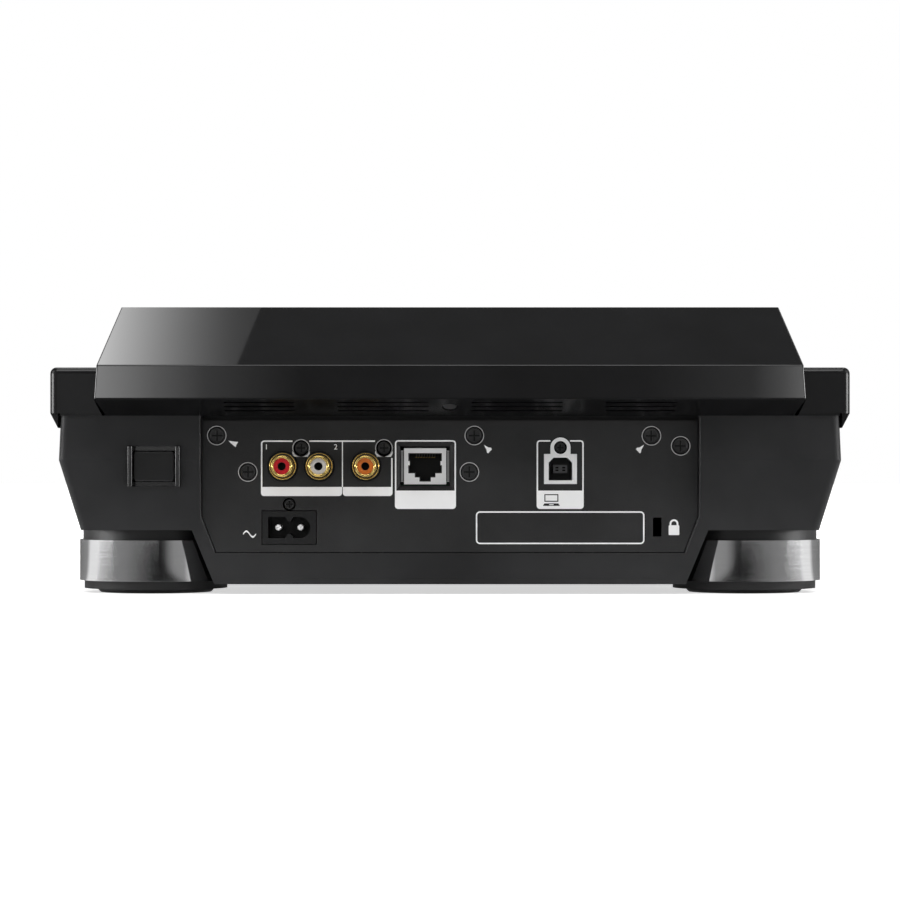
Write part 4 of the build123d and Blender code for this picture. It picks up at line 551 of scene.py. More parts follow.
def audio_frame():
    """White frame around the phono jacks, with a band for each label."""
    left, divide, right, corner = 73.1, 41.6, 22.2, FRAME_CORNER
    top, stop, shelf, bottom = 59.6, 52.8, 41.6, 38.1
    half_line, half_gap, band_corner = 0.2, 0.15, 1.2
    lines = [bar(-left, shelf, FRAME_LINE - left, top - corner)]
    lines.append(bar(-right - FRAME_LINE, shelf, -right, stop))
    lines.append(bar(-divide - half_line, shelf, half_line - divide, top - FRAME_LINE))
    lines += top_line([left - corner, 60.9, 54.4, 29.0], top)
    lines.append(bend(corner - left, top - corner, corner, FRAME_LINE, 90))
    for a, b in ((left, divide + half_gap), (divide - half_gap, right)):
        lines.append(label_band(-a, -b, shelf, bottom, band_corner))
    panel_print("audio_frame_print", lines)


def socket_frame(name, sides, gap=()):
    """White frame with a deep label band below a socket, and an optional gap in its top line."""
    left, right = sides
    top, shelf, bottom, corner = 59.7, 40.2, 33.1, FRAME_CORNER
    lines = [bar(-left, shelf, FRAME_LINE - left, top - corner)]
    lines.append(bar(-right - FRAME_LINE, shelf, -right, top - corner))
    lines += top_line([left - corner, *gap, right + corner], top)
    lines.append(bend(corner - left, top - corner, corner, FRAME_LINE, 90))
    lines.append(bend(-right - corner, top - corner, corner, FRAME_LINE, 0))
    lines.append(label_band(-left, -right, shelf, bottom, corner))
    panel_print(name, lines)


def padlock_sign(x, z):
    """Plain padlock: a filled body under a shackle."""
    outer, inner, foot = 1.7, 1.0, z + 0.5
    body = rounded(x, z - 1.3, 4.1, 3.8, 0.3)
    shackle = [(x + outer, foot)] + arc(x, z + 1.2, outer, 0, 180, 12) + [(x - outer, foot)]
    shackle += [(x - inner, foot)] + arc(x, z + 1.2, inner, 180, 0, 12) + [(x + inner, foot)]
    panel_print("padlock_print", [body, shackle])


def laptop_sign(x, z):
    """Open laptop on the label band of the computer socket."""
    screen = framed(x, z + 0.85, 5.4, 2.95, 0.15, 0.38)
    base = [(x - 2.7, z - 1.25), (x + 2.7, z - 1.25), (x + 3.3, z - 2.2), (x - 3.3, z - 2.2)]
    panel_print("laptop_print", [screen, base], BLACK_PRINT_AND_SHADE, layer=1)
    panel_print("laptop_pad_print", [bar(x - 0.85, z - 1.9, x + 0.85, z - 1.6)], layer=2)


def wave_sign(x, z):
    """One wave of alternating current beside the mains inlet."""
    length, rise, half = 5.0, 1.1, 0.35
    steps = [i / 16 for i in range(17)]
    line = [(x + length * (s - 0.5), z + rise * math.sin(2 * math.pi * s)) for s in steps]
    top, low = [[(u, v + side * half) for u, v in line] for side in (1, -1)]
    panel_print("mains_wave_print", [top + low[::-1]])


def panel_prints():
    """All prints of the jack panel: frames, arrows, bare plate and signs."""
    audio_frame()
    socket_frame("link_frame_print", LINK_SIDES)
    socket_frame("computer_frame_print", COMPUTER_SIDES, COMPUTER_GAP)
    panel_print("name_plate_outline", [framed(*PLATE, FRAME_LINE)])
    arrows = [dart(-85.7, 59.5, FLAT_DART), dart(13.1, 57.9, STEEP_DART), dart(75.0, 57.9, STEEP_DART, -1)]
    panel_print("arrow_prints", arrows)
    padlock_sign(*PADLOCK)
    laptop_sign(*LAPTOP)
    for name, text, x in (("audio_number_right", "1", -71.0), ("audio_number_left", "2", -44.2)):
        numeral(name, REAR, text, x, NUMBER_LEVEL, NUMBER_HEIGHT, PRINT_WHITE)
    wave_sign(*MAINS_WAVE)


# Small parts of the sockets and screws: heights over the jack panel's face, places by the part's X and Z
SLEEVE_TIP, FLANGE_FACE, BOSS_FACE = 9.5, 1.7, 0.5
BORE_FLOOR, BORE_DEPTH = 2.0, 6.6
PHONO_RIM, PHONO_COLLAR = (3.63, 0.46, 0.4), (5.0, 0.2, 0.12)
PHONO_BOSS_AND_SHADE_RING, PHONO_BORE, BORE_END = (5.5, 1.25), (1.58, 0.12), 1.44
WELL_FLOOR, CROSS_FLOOR, HEAD_FACE = -2.2, -1.9, -1.3
TONGUE_FACE, SHELL_FACE, SPRING_FACE = -1.0, -2.0, -2.3
PIN_ROUNDING = 0.8
WELL_GAP, HEAD_GAP = 0.46, 0.5
CROSS_SHARE, CROSS_HALF = 0.66, 0.3
RIM_INSET, RIM_HALF, RIM_RISE = 0.85, 0.35, 0.3
LARGE_SCREWS = [(90.2, 61.5), (78.2, 47.4), (-9.4, 61.5), (-7.5, 47.4), (-77.9, 61.4), (-89.2, 57.5)]
PHONO_SCREWS = [(57.6, 56.7), (25.55, 56.7)]
MAINS_SCREW = (62.2, 34.9)
TAB_SCREW_RISE = 8.3
EAR_EDGE = [(-3.4, -1.3), (-3.4, -2.2), (-2.7, -3.4), (2.7, -3.4), (3.4, -2.2), (3.4, -1.3)]
EAR_NOTCH, EAR_RING, EAR_LINE = 3.05, 3.4, 0.35


def socket_contacts():
    """Contacts of the computer socket, painted as black slots for their shade; contacts of the network jack;
    and the jack's springs, with painted shade on them.
    """
    x, _, z = mount("computer_socket")
    tip = [rounded(-x, z, 5.3, 3.1, 0.15)]
    tone = MATERIALS["key_plastic"]
    inlay("computer_socket_tongue", REAR, tip, tone, lift=TONGUE_FACE)
    # The four contact slots of the tongue are black patches: painted shade.
    holes = [rounded(-x + sx * 1.35, z + sz * 0.5, 1.2, 0.6, 0.1) for sx in (-1, 1) for sz in (-1, 1)]
    inlay("computer_socket_slot_shade", REAR, holes, SHADE_BLACK, lift=TONGUE_FACE + PRINT_THICKNESS)
    back, length, pitch, half = -13.0, 6.0, 1.02, 0.17
    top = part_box("link_jack_insert")[1][2] / MM
    centres = [-middle("link_jack_insert")[0] + (i - 3.5) * pitch for i in range(8)]
    ribs = [bar(c - half, top - 1.7, c + half, top - 1.5) for c in centres]
    inlay("link_socket_contacts", REAR, ribs, MATERIALS["gold_plate"], lift=back, thickness=length)
    x, z = on_sheet(REAR, "link_jack_shield")
    # Grey on the set-back side springs and black in the gaps beside them are painted shade; the tips are
    # white.
    springs = (
        ("link_side_springs", 8.9, 0.0, 0.9, 11.8, GREY_PRINT_AND_SHADE, SPRING_FACE, "bright_shield"),
        ("link_spring_gap_shade", 8.3, 0.0, 0.3, 11.9, SHADE_BLACK, SPRING_FACE, "black_plastic"),
        ("link_spring_tips", 6.3, 1.2, 0.7, 1.6, PRINT_WHITE, SHELL_FACE, "bright_shield"),
    )
    for name, offset, rise, width, height, material, face, slot in springs:
        shapes = [rounded(x + side * offset, z + rise, width, height, 0.1) for side in (-1, 1)]
        inlay(name, REAR, shapes, material, lift=face)


def phono_details():
    """Rolled rim and collar of each phono jack; a black ring over the outer flange, which stands for the
    black boss and for painted shade in the gap around the sleeve; and a black lining and floor in each bore
    as painted shade.
    """
    gold, dark = MATERIALS["gold_plate"], MATERIALS["black_plastic"]
    shade_ring_face = FLANGE_FACE + PRINT_THICKNESS
    for name in ("phono_red", "phono_white", "phono_orange"):
        x, _, z = mount(name)
        turned(f"{name}_rim", [(-x, z)], bead(*PHONO_RIM, SLEEVE_TIP), gold)
        turned(f"{name}_collar", [(-x, z)], bead(*PHONO_COLLAR, shade_ring_face), gold)
        # The black ring over the flange's outer part is the black boss and painted shade in the gap around
        # the sleeve; the black bore lining and floor are painted shade.
        parts = (
            ("boss_and_shade_ring", ringed(-x, z, *PHONO_BOSS_AND_SHADE_RING), dark, BOSS_FACE, shade_ring_face - BOSS_FACE),
            ("bore", ringed(-x, z, *PHONO_BORE), BLACK_PRINT_AND_SHADE, BORE_FLOOR, BORE_DEPTH),
            ("bore_floor_shade", round_outline(-x, z, BORE_END, 24), BLACK_PRINT_AND_SHADE, BORE_FLOOR, PRINT_THICKNESS),
        )
        for part, shape, tone, lift, depth in parts:
            inlay(f"{name}_{part}", REAR, [shape], tone, lift=lift, thickness=depth)


def screw_details():
    """Painted shade in the screws' wells: a black ring on each well's floor and a dark sheet on each cross's
    floor; and the round edges of their heads.
    """
    x, _, z = mount("computer_socket")
    small = [MAINS_SCREW, (x, z + TAB_SCREW_RISE)]
    groups = (("large", LARGE_SCREWS, 3.6), ("middle", PHONO_SCREWS, 3.0), ("small", small, 2.5))
    wells = [(*place, radius) for _, places, radius in groups for place in places]
    gaps = [ringed(-x, z, radius, WELL_GAP) for x, z, radius in wells]
    # Black ring on each well's floor around the head: painted shade.
    inlay("screw_well_shade", REAR, gaps, SHADE_BLACK, lift=WELL_FLOOR)
    marks = [cross(-x, z, (radius - HEAD_GAP) * CROSS_SHARE, CROSS_HALF) for x, z, radius in wells]
    # Dark sheet on the floor of each cross: painted shade.
    inlay("screw_cross_shade", REAR, marks, CROSS_SHADE, lift=CROSS_FLOOR)
    for size, places, radius in groups:
        heads = [(-x, z) for x, z in places]
        rim = bead(radius - RIM_INSET, RIM_HALF, RIM_RISE, HEAD_FACE)
        turned(f"{size}_screw_rims", heads, rim, MATERIALS["black_screw"], 48)


def screw_eyelets():
    """Grey ring with a lip in the mouth of each large screw's well."""
    depth, outside, bore, edge, top = -0.8, 3.58, 3.44, 3.76, PRINT_THICKNESS
    wall = [(outside, depth), (bore, depth), (bore, top), (edge, top), (edge, 0.0)]
    turned("screw_eyelets", [(-x, z) for x, z in LARGE_SCREWS], wall, RING_GREY, smooth=False)


def phono_ears():
    """Bright metal ears of the phono block that show around its two screws."""
    outline = EAR_EDGE + arc(0, 0, EAR_NOTCH, 335, 205, 13)
    shapes = [[(u - x, v + z) for u, v in outline] for x, z in PHONO_SCREWS]
    inlay("phono_ears", REAR, shapes, MATERIALS["bright_shield"])
    panel_print("phono_screw_rings", [ringed(-x, z, EAR_RING, EAR_LINE) for x, z in PHONO_SCREWS], RING_GREY)


def pin_tips():
    """Rounded ends of the mains pins."""
    low, high = [[c / MM for c in corner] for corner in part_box("ac_inlet_pins")]
    half = (high[2] - low[2]) / 2
    places = [(-x, (low[2] + high[2]) / 2) for x in (low[0] + half, high[0] - half)]
    end = dome(half, PIN_ROUNDING, high[1] - panel_face / MM)
    turned("mains_pin_tips", places, end, MATERIALS["bright_shield"], 32)


# Marks of the deck: each is drawn on a key's own top, or on the plate beside it
LAMP_RING, KEY_RIM = (15.4, 1.3), (16.4, 0.5)
SIGN_HALF, LAMP_DROP = 2.6, 2.6
CAP_HOLLOW = 0.58
BROWSE_TOP, HOOD_KEY_TOP = 10.5, 1.6
GRIP_SHARE = 0.62


def key_mark(name, node, shapes, material, sink=0.0):
    """Mark on the top of a deck key, or in its hollow, which rides with the key."""
    inlay(name, DECK, shapes, material, body=node, lift=height_on(DECK, node) - sink)


def deck_print(name, shapes, material=PRINT_WHITE):
    """Print on the deck."""
    inlay(name, DECK, shapes, material)


def stroke(x, y, left, right):
    """Upright stroke of a sign on a round key."""
    return bar(x + left, y - SIGN_HALF, x + right, y + SIGN_HALF)


def round_key_marks():
    """Lit rings and signs on the play and cue keys."""
    for node, lamp in (("play_button", LED_GREEN), ("cue_button", LED_AMBER)):
        x, y = on_sheet(DECK, node)
        key_mark(f"{node}_ring", node, [ringed(x, y, *LAMP_RING)], lamp)
        key_mark(f"{node}_rim", node, [ringed(x, y, *KEY_RIM)], GREY_PRINT_AND_SHADE)
        signs = [pointer(x - 2.2, y, 5.4), stroke(x, y, 1.6, 2.7), stroke(x, y, 3.7, 4.8)]
        if node == "cue_button":
            signs = [pointer(x + 0.6, y, 5.2, 180), stroke(x, y, -3.4, -2.5)]
        key_mark(f"{node}_sign", node, signs, PRINT_WHITE)


def hot_cue_marks():
    """Number and coloured lamp of each hot cue key."""
    for i, lamp in enumerate((LED_GREEN, LED_BLUE, LED_AMBER, LED_RED), 1):
        node = f"hot_cue_key_{i}"
        x, y = on_sheet(DECK, node)
        key_mark(f"hot_cue_lamp_{i}", node, [rounded(x, y - LAMP_DROP, 18.0, 1.5, 0.5)], lamp)
        numeral(f"hot_cue_number_{i}", DECK, str(i), x, y + 1.1, 2.6, PRINT_WHITE, body=node,
                lift=height_on(DECK, node))


def side_key_marks():
    """Signs on the search, track, loop, sync and key lock keys."""
    for node, turn in (("search_back_button", 180), ("search_forward_button", 0)):
        x, y = on_sheet(DECK, node)
        signs = [pointer(x + side * 1.6, y, 3.2, turn) for side in (-1, 1)]
        key_mark(f"{node}_sign", node, signs, PRINT_WHITE)
    for node, turn in (("track_back_button", 180), ("track_forward_button", 0)):
        x, y = on_sheet(DECK, node)
        stop = 2.2 if turn == 0 else -2.2
        signs = [pointer(x - stop / 4, y, 3.4, turn), bar(x + stop - 0.35, y - 1.7, x + stop + 0.35, y + 1.7)]
        key_mark(f"{node}_sign", node, signs, PRINT_WHITE)
    lamps = dict.fromkeys(("loop_in", "loop_out", "loop_exit"), LED_AMBER)
    lamps.update(sync=LED_BLUE, key_lock=LED_RED)
    for key, lamp in lamps.items():
        node = f"{key}_button"
        x, y = on_sheet(DECK, node)
        key_mark(f"{node}_lamp", node, [rounded(x, y - LAMP_DROP, 11.0, 1.2, 0.4)], lamp)
        key_mark(f"{node}_line", node, [rounded(x, y + 1.4, 6.0, 0.5, 0.2)], PRINT_WHITE)


def tempo_marks():
    """Scale beside the tempo slot and the line across the slider's cap."""
    cap = "tempo_slider_cap"
    x, y = on_sheet(DECK, cap)
    half = joint("tempo_slide")["range_m"][1] / MM
    start, short, long, tick_half = 14.4, 2.6, 4.4, 0.15
    ticks = []
    for i in range(-10, 11):
        reach = short if i % 5 else long
        level = y + half * i / 10
        for side in (-1, 1):
            a, b = sorted((x + side * start, x + side * (start + reach)))
            ticks.append(bar(a, level - tick_half, b, level + tick_half))
    deck_print("tempo_scale_print", ticks)
    deck_print("tempo_centre_lamp", [rounded(x - 9.4, y, 1.6, 1.6, 0.5)], LED_GREEN)
    line = [bar(x - 11.6, y - 0.35, x + 11.6, y + 0.35)]
    key_mark("tempo_cap_line", cap, line, PRINT_WHITE, CAP_HOLLOW)
    deck_print("tempo_frame_print", [framed(x, y, 43.0, 2 * half + 22.0, 2.0, 0.3)], GREY_PRINT_AND_SHADE)


def grip_ring(name, sheet, x, y, radius, low, high, count, body):
    """Ribs around a knob for the fingers."""
    places = round_outline(x, y, radius, count)
    ribs = [round_outline(cx, cy, radius * math.pi / count * GRIP_SHARE, 10) for cx, cy in places]
    inlay(name, sheet, ribs, MATERIALS["control_plastic"], body=body, lift=low, thickness=high - low)


def knob_marks():
    """Pointer and scale of the feel knob, grips of both knobs and signs at the lever."""
    x, y = on_sheet(DECK, "jog_feel_knob")
    top = height_on(DECK, "jog_feel_knob")
    key_mark("feel_pointer", "jog_feel_knob", [bar(x - 0.45, y + 2.0, x + 0.45, y + 7.6)], PRINT_WHITE)
    dots = []
    for i, (cx, cy) in enumerate(arc(x, y, 12.6, 230, -50, 10)):
        dots.append(round_outline(cx, cy, 0.55 if i % 5 else 0.9, 16))
    deck_print("feel_scale_print", dots)
    grip_ring("feel_grip", DECK, x, y, 9.0, 1.6, top - 1.6, 28, "jog_feel_knob")
    grip_ring("browse_grip", SLOPE, 0.0, 0.0, 13.0, 2.0, 8.6, 36, "browse_knob")
    ring = [ringed(0.0, 0.0, 10.6, 0.5)]
    inlay("browse_ring", SLOPE, ring, GREY_PRINT_AND_SHADE, body="browse_knob", lift=BROWSE_TOP)
    x, y = on_sheet(DECK, "direction_lever")
    deck_print("lever_signs", [pointer(x, y + 10.0, 3.4, 90), pointer(x, y - 10.0, 3.4, 270)])
    deck_print("lever_frame", [framed(x, y, 13.0, 12.0, 1.5, 0.4)], GREY_PRINT_AND_SHADE)


def jog_marks():
    """Display graphic in the middle of the wheel and fine rings on the touch plate."""
    x, y = on_sheet(DECK, "jog_display")
    lift = height_on(DECK, "jog_display")
    edge, short, long = 26.2, (23.2, 0.18), (21.6, 0.32)
    ticks = []
    for i in range(60):
        angle = 2 * math.pi * i / 60
        c, s = math.cos(angle), math.sin(angle)
        inner, wide = short if i % 5 else long
        ends = ((inner, 1), (inner, -1), (edge, -1), (edge, 1))
        ticks.append([(x + r * c - side * wide * s, y + r * s + side * wide * c) for r, side in ends])
    layers = (
        ("jog_screen", [round_outline(x, y, 28.6, 96)], JOG_BACK, 0),
        ("jog_screen_ticks", ticks, LED_WHITE, 1),
        ("jog_screen_ring", [ringed(x, y, 18.4, 0.9)], LED_BLUE, 1),
        ("jog_screen_hand", [bar(x - 0.5, y + 10.0, x + 0.5, y + edge)], LED_RED, 2),
    )
    for name, shapes, material, layer in layers:
        inlay(name, DECK, shapes, material, lift=lift + layer * FOIL_THICKNESS, thickness=FOIL_THICKNESS)
    rings = [ringed(x, y, r, 0.3) for r in (36.0, 58.0, 80.0)]
    mark = [bar(x - 0.6, y + 70.0, x + 0.6, y + 80.0)]
    plate = height_on(DECK, "jog_top_plate")
    for name, shapes, tone in (("jog_plate_rings", rings, GREY_PRINT_AND_SHADE), ("jog_plate_mark", mark, PRINT_WHITE)):
        inlay(name, DECK, shapes, tone, body="jog_top_plate", lift=plate, thickness=FOIL_THICKNESS)


# Picture of the display, under its glass
SCREEN_DEPTH, SCREEN_LAYER = -2.5, 0.02
SCREEN_SIDES, SCREEN_ENDS = 10.6, 11.0


def screen_layer(name, shapes, material, layer, thickness=SCREEN_LAYER):
    """Layer of the display's picture."""
    inlay(name, SLOPE, shapes, material, lift=SCREEN_DEPTH + layer * SCREEN_LAYER, thickness=thickness)


def display_picture():
    """Picture on the display: two strips of level bars, a centre line and plain numbers."""
    u, v = on_sheet(SLOPE, "display_glass")
    width = span("display_glass")[0] - SCREEN_SIDES
    length = span("display_glass")[1] / SLOPE.up.y - SCREEN_ENDS
    low, left = v - length / 2, u - width / 2
    top, axis, foot = low + length, low + length * 0.58, low + 4.0
    count, wide, margin, peak = 170, 0.7, 3.0, 0.45
    waves, peaks, strip = [], [], []
    for i in range(count):
        t = i / count
        beat = abs(math.sin(21 * math.pi * t)) ** 3
        level = 4.0 + 12.0 * beat * (0.6 + 0.4 * math.sin(7.1 * t * math.pi)) + 2.5 * abs(math.sin(83.0 * t))
        swell = abs(math.sin(3.3 * math.pi * t) * math.sin(40.0 * t))
        tall = 1.2 + 4.6 * swell + 1.4 * abs(math.sin(150.0 * t))
        x = left + margin + (width - 2 * margin) * t
        waves.append(bar(x, axis - level, x + wide, axis + level))
        peaks.append(bar(x, axis - level * peak, x + wide, axis + level * peak))
        strip.append(bar(x, foot, x + wide, foot + tall))
    screen_layer("screen_back", [bar(left, low, left + width, top)], SCREEN_BACK, 0, 2 * SCREEN_LAYER)
    screen_layer("screen_wave", waves, LED_BLUE, 2)
    screen_layer("screen_peaks", peaks, LED_WHITE, 3)
    screen_layer("screen_strip", strip, LED_AMBER, 2)
    line = bar(u - 0.4, low + length * 0.36, u + 0.4, low + length * 0.8)
    screen_layer("screen_centre_line", [line], LED_RED, 4)
    tabs = [rounded(left + 14.0 + 24.0 * i, top - 5.4, 21.0, 6.4, 1.0) for i in range(3)]
    screen_layer("screen_tabs", tabs, GREY_PRINT_AND_SHADE, 2)
    numbers = (("screen_time", "02:47.3", left + width - 24.0, 5.0), ("screen_tempo", "124.0", u + 8.0, 4.0))
    for name, text, x, height in numbers:
        numeral(name, SLOPE, text, x, top - 5.6, height, LED_WHITE, lift=SCREEN_DEPTH + 2 * SCREEN_LAYER)


def hood_marks():
    """Lines on the keys of the screen hood and the lamp of the drive socket."""
    for node in ("back_button", "browse_button", "menu_button"):
        line = [rounded(*on_sheet(SLOPE, node), 9.0, 0.6, 0.25)]
        inlay(f"{node}_line", SLOPE, line, PRINT_WHITE, body=node, lift=HOOD_KEY_TOP)
    u, v = on_sheet(SLOPE, "usb_drive_socket")
    inlay("drive_frame", SLOPE, [framed(u, v, 22.0, 13.0, 2.0, 0.4)], GREY_PRINT_AND_SHADE)
    inlay("drive_lamp", SLOPE, [round_outline(u + 14.4, v, 1.1, 20)], LED_RED)


def hot_cue_frame():
    """Line that groups the hot cue keys."""
    left, y = on_sheet(DECK, "hot_cue_key_1")
    right, _ = on_sheet(DECK, "hot_cue_key_4")
    frame_line = framed((left + right) / 2, y, right - left + 28.0, 15.0, 1.6, 0.3)
    deck_print("hot_cue_frame", [frame_line], GREY_PRINT_AND_SHADE)


panel_prints()
socket_contacts()
phono_details()
screw_details()
screw_eyelets()
phono_ears()
pin_tips()
round_key_marks()
hot_cue_marks()
side_key_marks()
tempo_marks()
knob_marks()
jog_marks()
display_picture()
hood_marks()
hot_cue_frame()


# Camera, in the picture's own pixels
IMAGE = 900.0
FOCAL = 3300.0
HORIZON = 465.0
SENSOR = 36.0
CAMERA_HEIGHT = 50.1
CAMERA_DISTANCE = 1450.0


def camera():
    """Level camera behind the player, at the height of its jack panel."""
    lens = bpy.data.cameras.new("camera")
    lens.sensor_width = SENSOR
    lens.lens = FOCAL / IMAGE * SENSOR
    lens.shift_y = (HORIZON - IMAGE / 2) / IMAGE
    lens.clip_start = 0.01
    holder = put("camera", lens)
    holder.location = (0, CAMERA_DISTANCE * MM, CAMERA_HEIGHT * MM)
    holder.rotation_euler = (math.radians(90), 0, math.radians(180))
    bpy.context.scene.camera = holder


# Studio, in metres; glow 1 is white
GLOW_TOP, BAND_TOP = 2.0, 8.0

# Cards around the player: 0 degrees is +Y, 90 degrees +X
WALL_GLOW = [
    (-180, 0.16), (-108, 0.16), (-98, 1.0), (-74, 1.0), (-62, 0.34), (-16, 0.3), (-10, 0.17),
    (10, 0.17), (16, 0.3), (62, 0.34), (74, 1.0), (98, 1.0), (108, 0.16), (180, 0.16),
]

# Cards on the floor, for the stripes of the foot rings: angles about the foot on the +X side
FLOOR_GLOW = [
    (-180, 0.2), (-160, 0.4), (-150, 1.1), (-116, 1.1), (-104, 0.38), (-56, 0.36), (-38, 0.12), (-30, 0.02),
    (-3, 0.02), (5, 0.06), (22, 0.18), (40, 0.3), (62, 0.36), (84, 0.8), (92, 1.3), (110, 1.3), (120, 0.4),
    (158, 0.18), (180, 0.16),
]

# Upright card on the middle line: glow by Y
RING_CARD_GLOW = [
    (0.21, 0.9), (0.235, 0.85), (0.26, 0.42), (0.34, 0.38), (0.42, 0.24), (0.52, 0.09), (0.7, 0.03),
    (0.9, 0.02),
]

# Screen behind the camera: glow by X
BAND_GLOW = [
    (-0.37, 2.9), (-0.34, 1.4), (-0.31, 0.56), (-0.2, 0.2), (0.15, 0.18), (0.2, 0.46), (0.25, 0.8),
    (0.3, 2.1), (0.37, 5.4),
]


def stage_piece(name, points, faces, material):
    """Piece of the studio."""
    mesh = bpy.data.meshes.new(name)
    mesh.from_pydata(points, [], faces)
    mesh.materials.append(material)
    piece = put(name, mesh)
    return piece


def stage_plane(name, centre, right, up, width, height, material):
    """Flat stage piece."""
    sheet = Sheet(centre, right, up)
    corners = ((-1, -1), (1, -1), (1, 1), (-1, 1))
    points = [sheet.point(sx * width / 2 / MM, sy * height / 2 / MM) for sx, sy in corners]
    return stage_piece(name, points, [(0, 1, 2, 3)], material)


def floor():
    """Pale floor that keeps the object's shadow."""
    size, fade = 14.0, (0.5, 1.6)
    plain, extra = 0.3, 0.32
    graph = Graph("floor")
    graph.shade("Base Color", graph.ramp(graph.noise(60.0), (0.78, 0.78, 0.78), (0.8, 0.8, 0.8)))
    graph.set(Roughness=0.9, Specular_IOR_Level=0.0, Emission_Color=WHITE)
    away = graph.node("ShaderNodeVectorMath", operation="LENGTH")
    graph.link(graph.place, away.inputs[0])
    far = graph.scale(away.outputs["Value"], *fade, 0.0, 1.0, interpolation_type="SMOOTHSTEP")
    direct = graph.node("ShaderNodeLightPath").outputs["Is Camera Ray"]
    near = graph.math("ADD", graph.math("MULTIPLY", direct, extra), plain)
    rest = graph.math("MULTIPLY", graph.math("SUBTRACT", 1.0, near), far)
    glow = graph.math("MULTIPLY", graph.seen(), graph.math("ADD", near, rest))
    graph.shade("Emission Strength", glow)
    stage_plane("floor", (0, 0, 0), (1, 0, 0), (0, 1, 0), size, size, graph.material)


def world():
    """White surroundings up to a dim studio ceiling; a plain grey light on everything."""
    edges, dim, plain = (0.3, 0.62), 0.12, 0.38
    space = bpy.data.worlds.new("studio")
    bpy.context.scene.world = space
    space.use_nodes = True
    nodes = Nodes(space.node_tree)
    height = nodes.split(nodes.node("ShaderNodeTexCoord").outputs["Generated"])[2]
    view = nodes.ramp(height, (1, 1, 1), [dim] * 3, *edges)
    mix = nodes.node("ShaderNodeMix", data_type="RGBA")
    mix.inputs["A"].default_value = (plain, plain, plain, 1)
    nodes.link(nodes.seen(), mix.inputs["Factor"])
    nodes.link(view, mix.inputs["B"])
    nodes.link(mix.outputs["Result"], nodes.tree.nodes["Background"].inputs["Color"])


def area_lamp(name, place, target, width, height, power):
    """Rectangular softbox aimed at a point."""
    lamp = bpy.data.lights.new(name, "AREA")
    lamp.shape = "RECTANGLE"
    lamp.size = width
    lamp.size_y = height
    lamp.energy = power
    holder = put(name, lamp)
    holder.location = place
    holder.rotation_euler = (Vector(target) - Vector(place)).to_track_quat("-Z", "Y").to_euler()


def card(plane):
    """Studio card that only reflections see."""
    plane.visible_camera = False
    plane.visible_diffuse = False
    plane.visible_shadow = False
    plane.visible_transmission = False


def glow_evenly(graph, strength):
    """Make a card glow white by a strength."""
    graph.shade("Emission Strength", strength)
    graph.set(Base_Color=BLACK, Emission_Color=WHITE, Specular_IOR_Level=0.0)


def glow_stops(graph, share, stops, top):
    """Make a card glow along a share from 0 to 1, by stops of place and strength."""
    tones = [(place, [glow / top] * 3) for place, glow in stops]
    graph.shade("Emission Color", graph.tones(share, tones))
    graph.set(Base_Color=BLACK, Emission_Strength=top, Specular_IOR_Level=0.0)


def glow_along(name, axis, stops, top):
    """Card whose glow changes along an axis of the frame."""
    graph = Graph(name)
    near, far = stops[0][0], stops[-1][0]
    share = graph.math("DIVIDE", graph.math("SUBTRACT", graph.split(graph.place)[axis], near), far - near)
    glow_stops(graph, share, [((place - near) / (far - near), glow) for place, glow in stops], top)
    return graph.material


def glow_by_angle(name, centre, stops, clear=0.0):
    """Card whose glow changes with the direction from a centre."""
    graph = Graph(name)
    x, y, _ = graph.split(graph.place)
    across, along = graph.math("SUBTRACT", x, centre[0]), graph.math("SUBTRACT", y, centre[1])
    turn = graph.math("DIVIDE", graph.math("ARCTAN2", across, along), 2 * math.pi)
    shares = [(angle / 360 + 0.5, glow) for angle, glow in stops]
    glow_stops(graph, graph.math("ADD", turn, 0.5), shares, GLOW_TOP)
    if clear:
        graph.shade("Alpha", graph.math("GREATER_THAN", graph.distance(across, along), clear))
    return graph.material


def reflector_wall():
    """Round wall of grey and white cards that glossy faces show."""
    radius, steps, levels = 2.4, 72, (0.002, 1.3)
    turns = [2 * math.pi * i / steps for i in range(steps)]
    points = [(radius * math.sin(t), radius * math.cos(t), z) for z in levels for t in turns]
    faces = [(i, (i + 1) % steps, steps + (i + 1) % steps, steps + i) for i in range(steps)]
    glow = glow_by_angle("wall_cards", (0, 0), WALL_GLOW)
    card(stage_piece("reflector_wall", points, faces, glow))


def floor_cards():
    """Cards on the floor beside each rear foot, for the stripes of the metal rings."""
    to_centre, clear = 0.03, 0.1
    x, y = [edge - to_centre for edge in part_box("foot_rings")[1][:2]]
    for side, name in ((1, "left"), (-1, "right")):
        stops = sorted((side * angle, glow) for angle, glow in FLOOR_GLOW)
        glow = glow_by_angle(f"{name}_floor_cards", (side * x, y), stops, clear)
        centre = (side * 0.8, 0.4, 0.0004)
        card(stage_plane(f"{name}_floor_card", centre, (1, 0, 0), (0, 1, 0), 1.6, 2.6, glow))


def ring_card():
    """Low upright card on the middle line behind the player, for the inner halves of the foot rings."""
    near, far, height = RING_CARD_GLOW[0][0], RING_CARD_GLOW[-1][0], 0.03
    glow = glow_along("ring_card", 1, RING_CARD_GLOW, GLOW_TOP)
    centre = (0, (near + far) / 2, height / 2)
    card(stage_plane("ring_card", centre, (0, 1, 0), (0, 0, 1), far - near, height, glow))


def band_screen():
    """Low screen behind the camera whose glow rises to both sides, for the hood's band."""
    glow = glow_along("band_screen", 0, BAND_GLOW, BAND_TOP)
    centre, width, height = (0, 2.3, 0.14), 0.74, 0.16
    card(stage_plane("band_screen", centre, (-1, 0, 0), (0, 0, 1), width, height, glow))


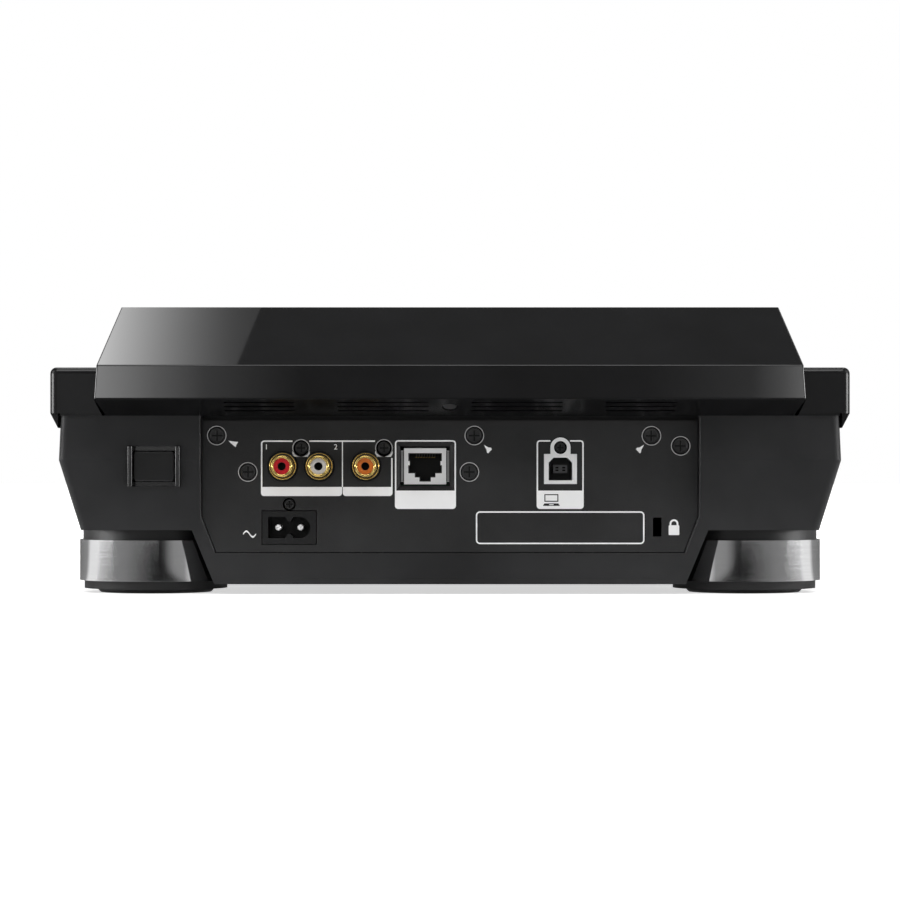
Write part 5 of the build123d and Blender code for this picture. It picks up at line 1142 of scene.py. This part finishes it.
def side_strips():
    """Bright strip lights to both sides, for the lines along the rounded edges."""
    for side, name in ((1, "left_edge_strip"), (-1, "right_edge_strip")):
        graph = Graph(name)
        glow_evenly(graph, graph.drift(graph.noise(400.0), 14.0, 15.0))
        card(stage_plane(name, (side * 2.0, 0.6, 0.16), (0, side, 0), (0, 0, 1), 1.2, 0.2, graph.material))


def ceiling_softbox():
    """Softbox over the +X side: a slanted edge, then a glow that rises and falls along X."""
    slope, edge = -0.337, 0.4065
    start, length, power, limit = 0.16, 0.14, 2.3, 1.4
    low, gain, plain = 0.25, 4.05, 0.14
    graph = Graph("ceiling_softbox")
    x, y, _ = graph.split(graph.place)
    slant = graph.math("ADD", x, graph.math("MULTIPLY", y, slope))
    share = graph.math("DIVIDE", graph.math("SUBTRACT", x, start), length)
    rise = graph.math("POWER", graph.math("MAXIMUM", share, 0.0), power)
    rise = graph.math("MINIMUM", rise, limit)
    glow = graph.math("ADD", graph.math("MULTIPLY", rise, gain), low)
    fall = graph.scale(x, 0.36, 0.5, 1.0, 0.0, interpolation_type="SMOOTHSTEP")
    inside = graph.math("MULTIPLY", graph.math("GREATER_THAN", slant, edge), fall)
    glow_evenly(graph, graph.math("ADD", graph.math("MULTIPLY", inside, glow), plain))
    card(stage_plane("ceiling_softbox", (0, -0.665, 1.6), (1, 0, 0), (0, 1, 0), 1.1, 0.34, graph.material))


def studio():
    """Floor, surroundings, softboxes and cards."""
    floor()
    world()
    reflector_wall()
    floor_cards()
    ring_card()
    band_screen()
    side_strips()
    ceiling_softbox()
    area_lamp("top_softbox", (0, 1.0, 1.9), (0, 0.15, 0.05), 1.8, 1.2, 30)
    for side, name in ((1, "left_strip"), (-1, "right_strip")):
        area_lamp(name, (side * 1.7, 0.5, 0.7), (side * 0.1, 0.15, 0.05), 0.9, 1.5, 9)
    area_lamp("front_softbox", (0, -1.2, 1.8), (0, -0.1, 0.05), 1.6, 1.0, 14)


camera()
studio()
bpy.context.scene.view_settings.view_transform = "Standard"
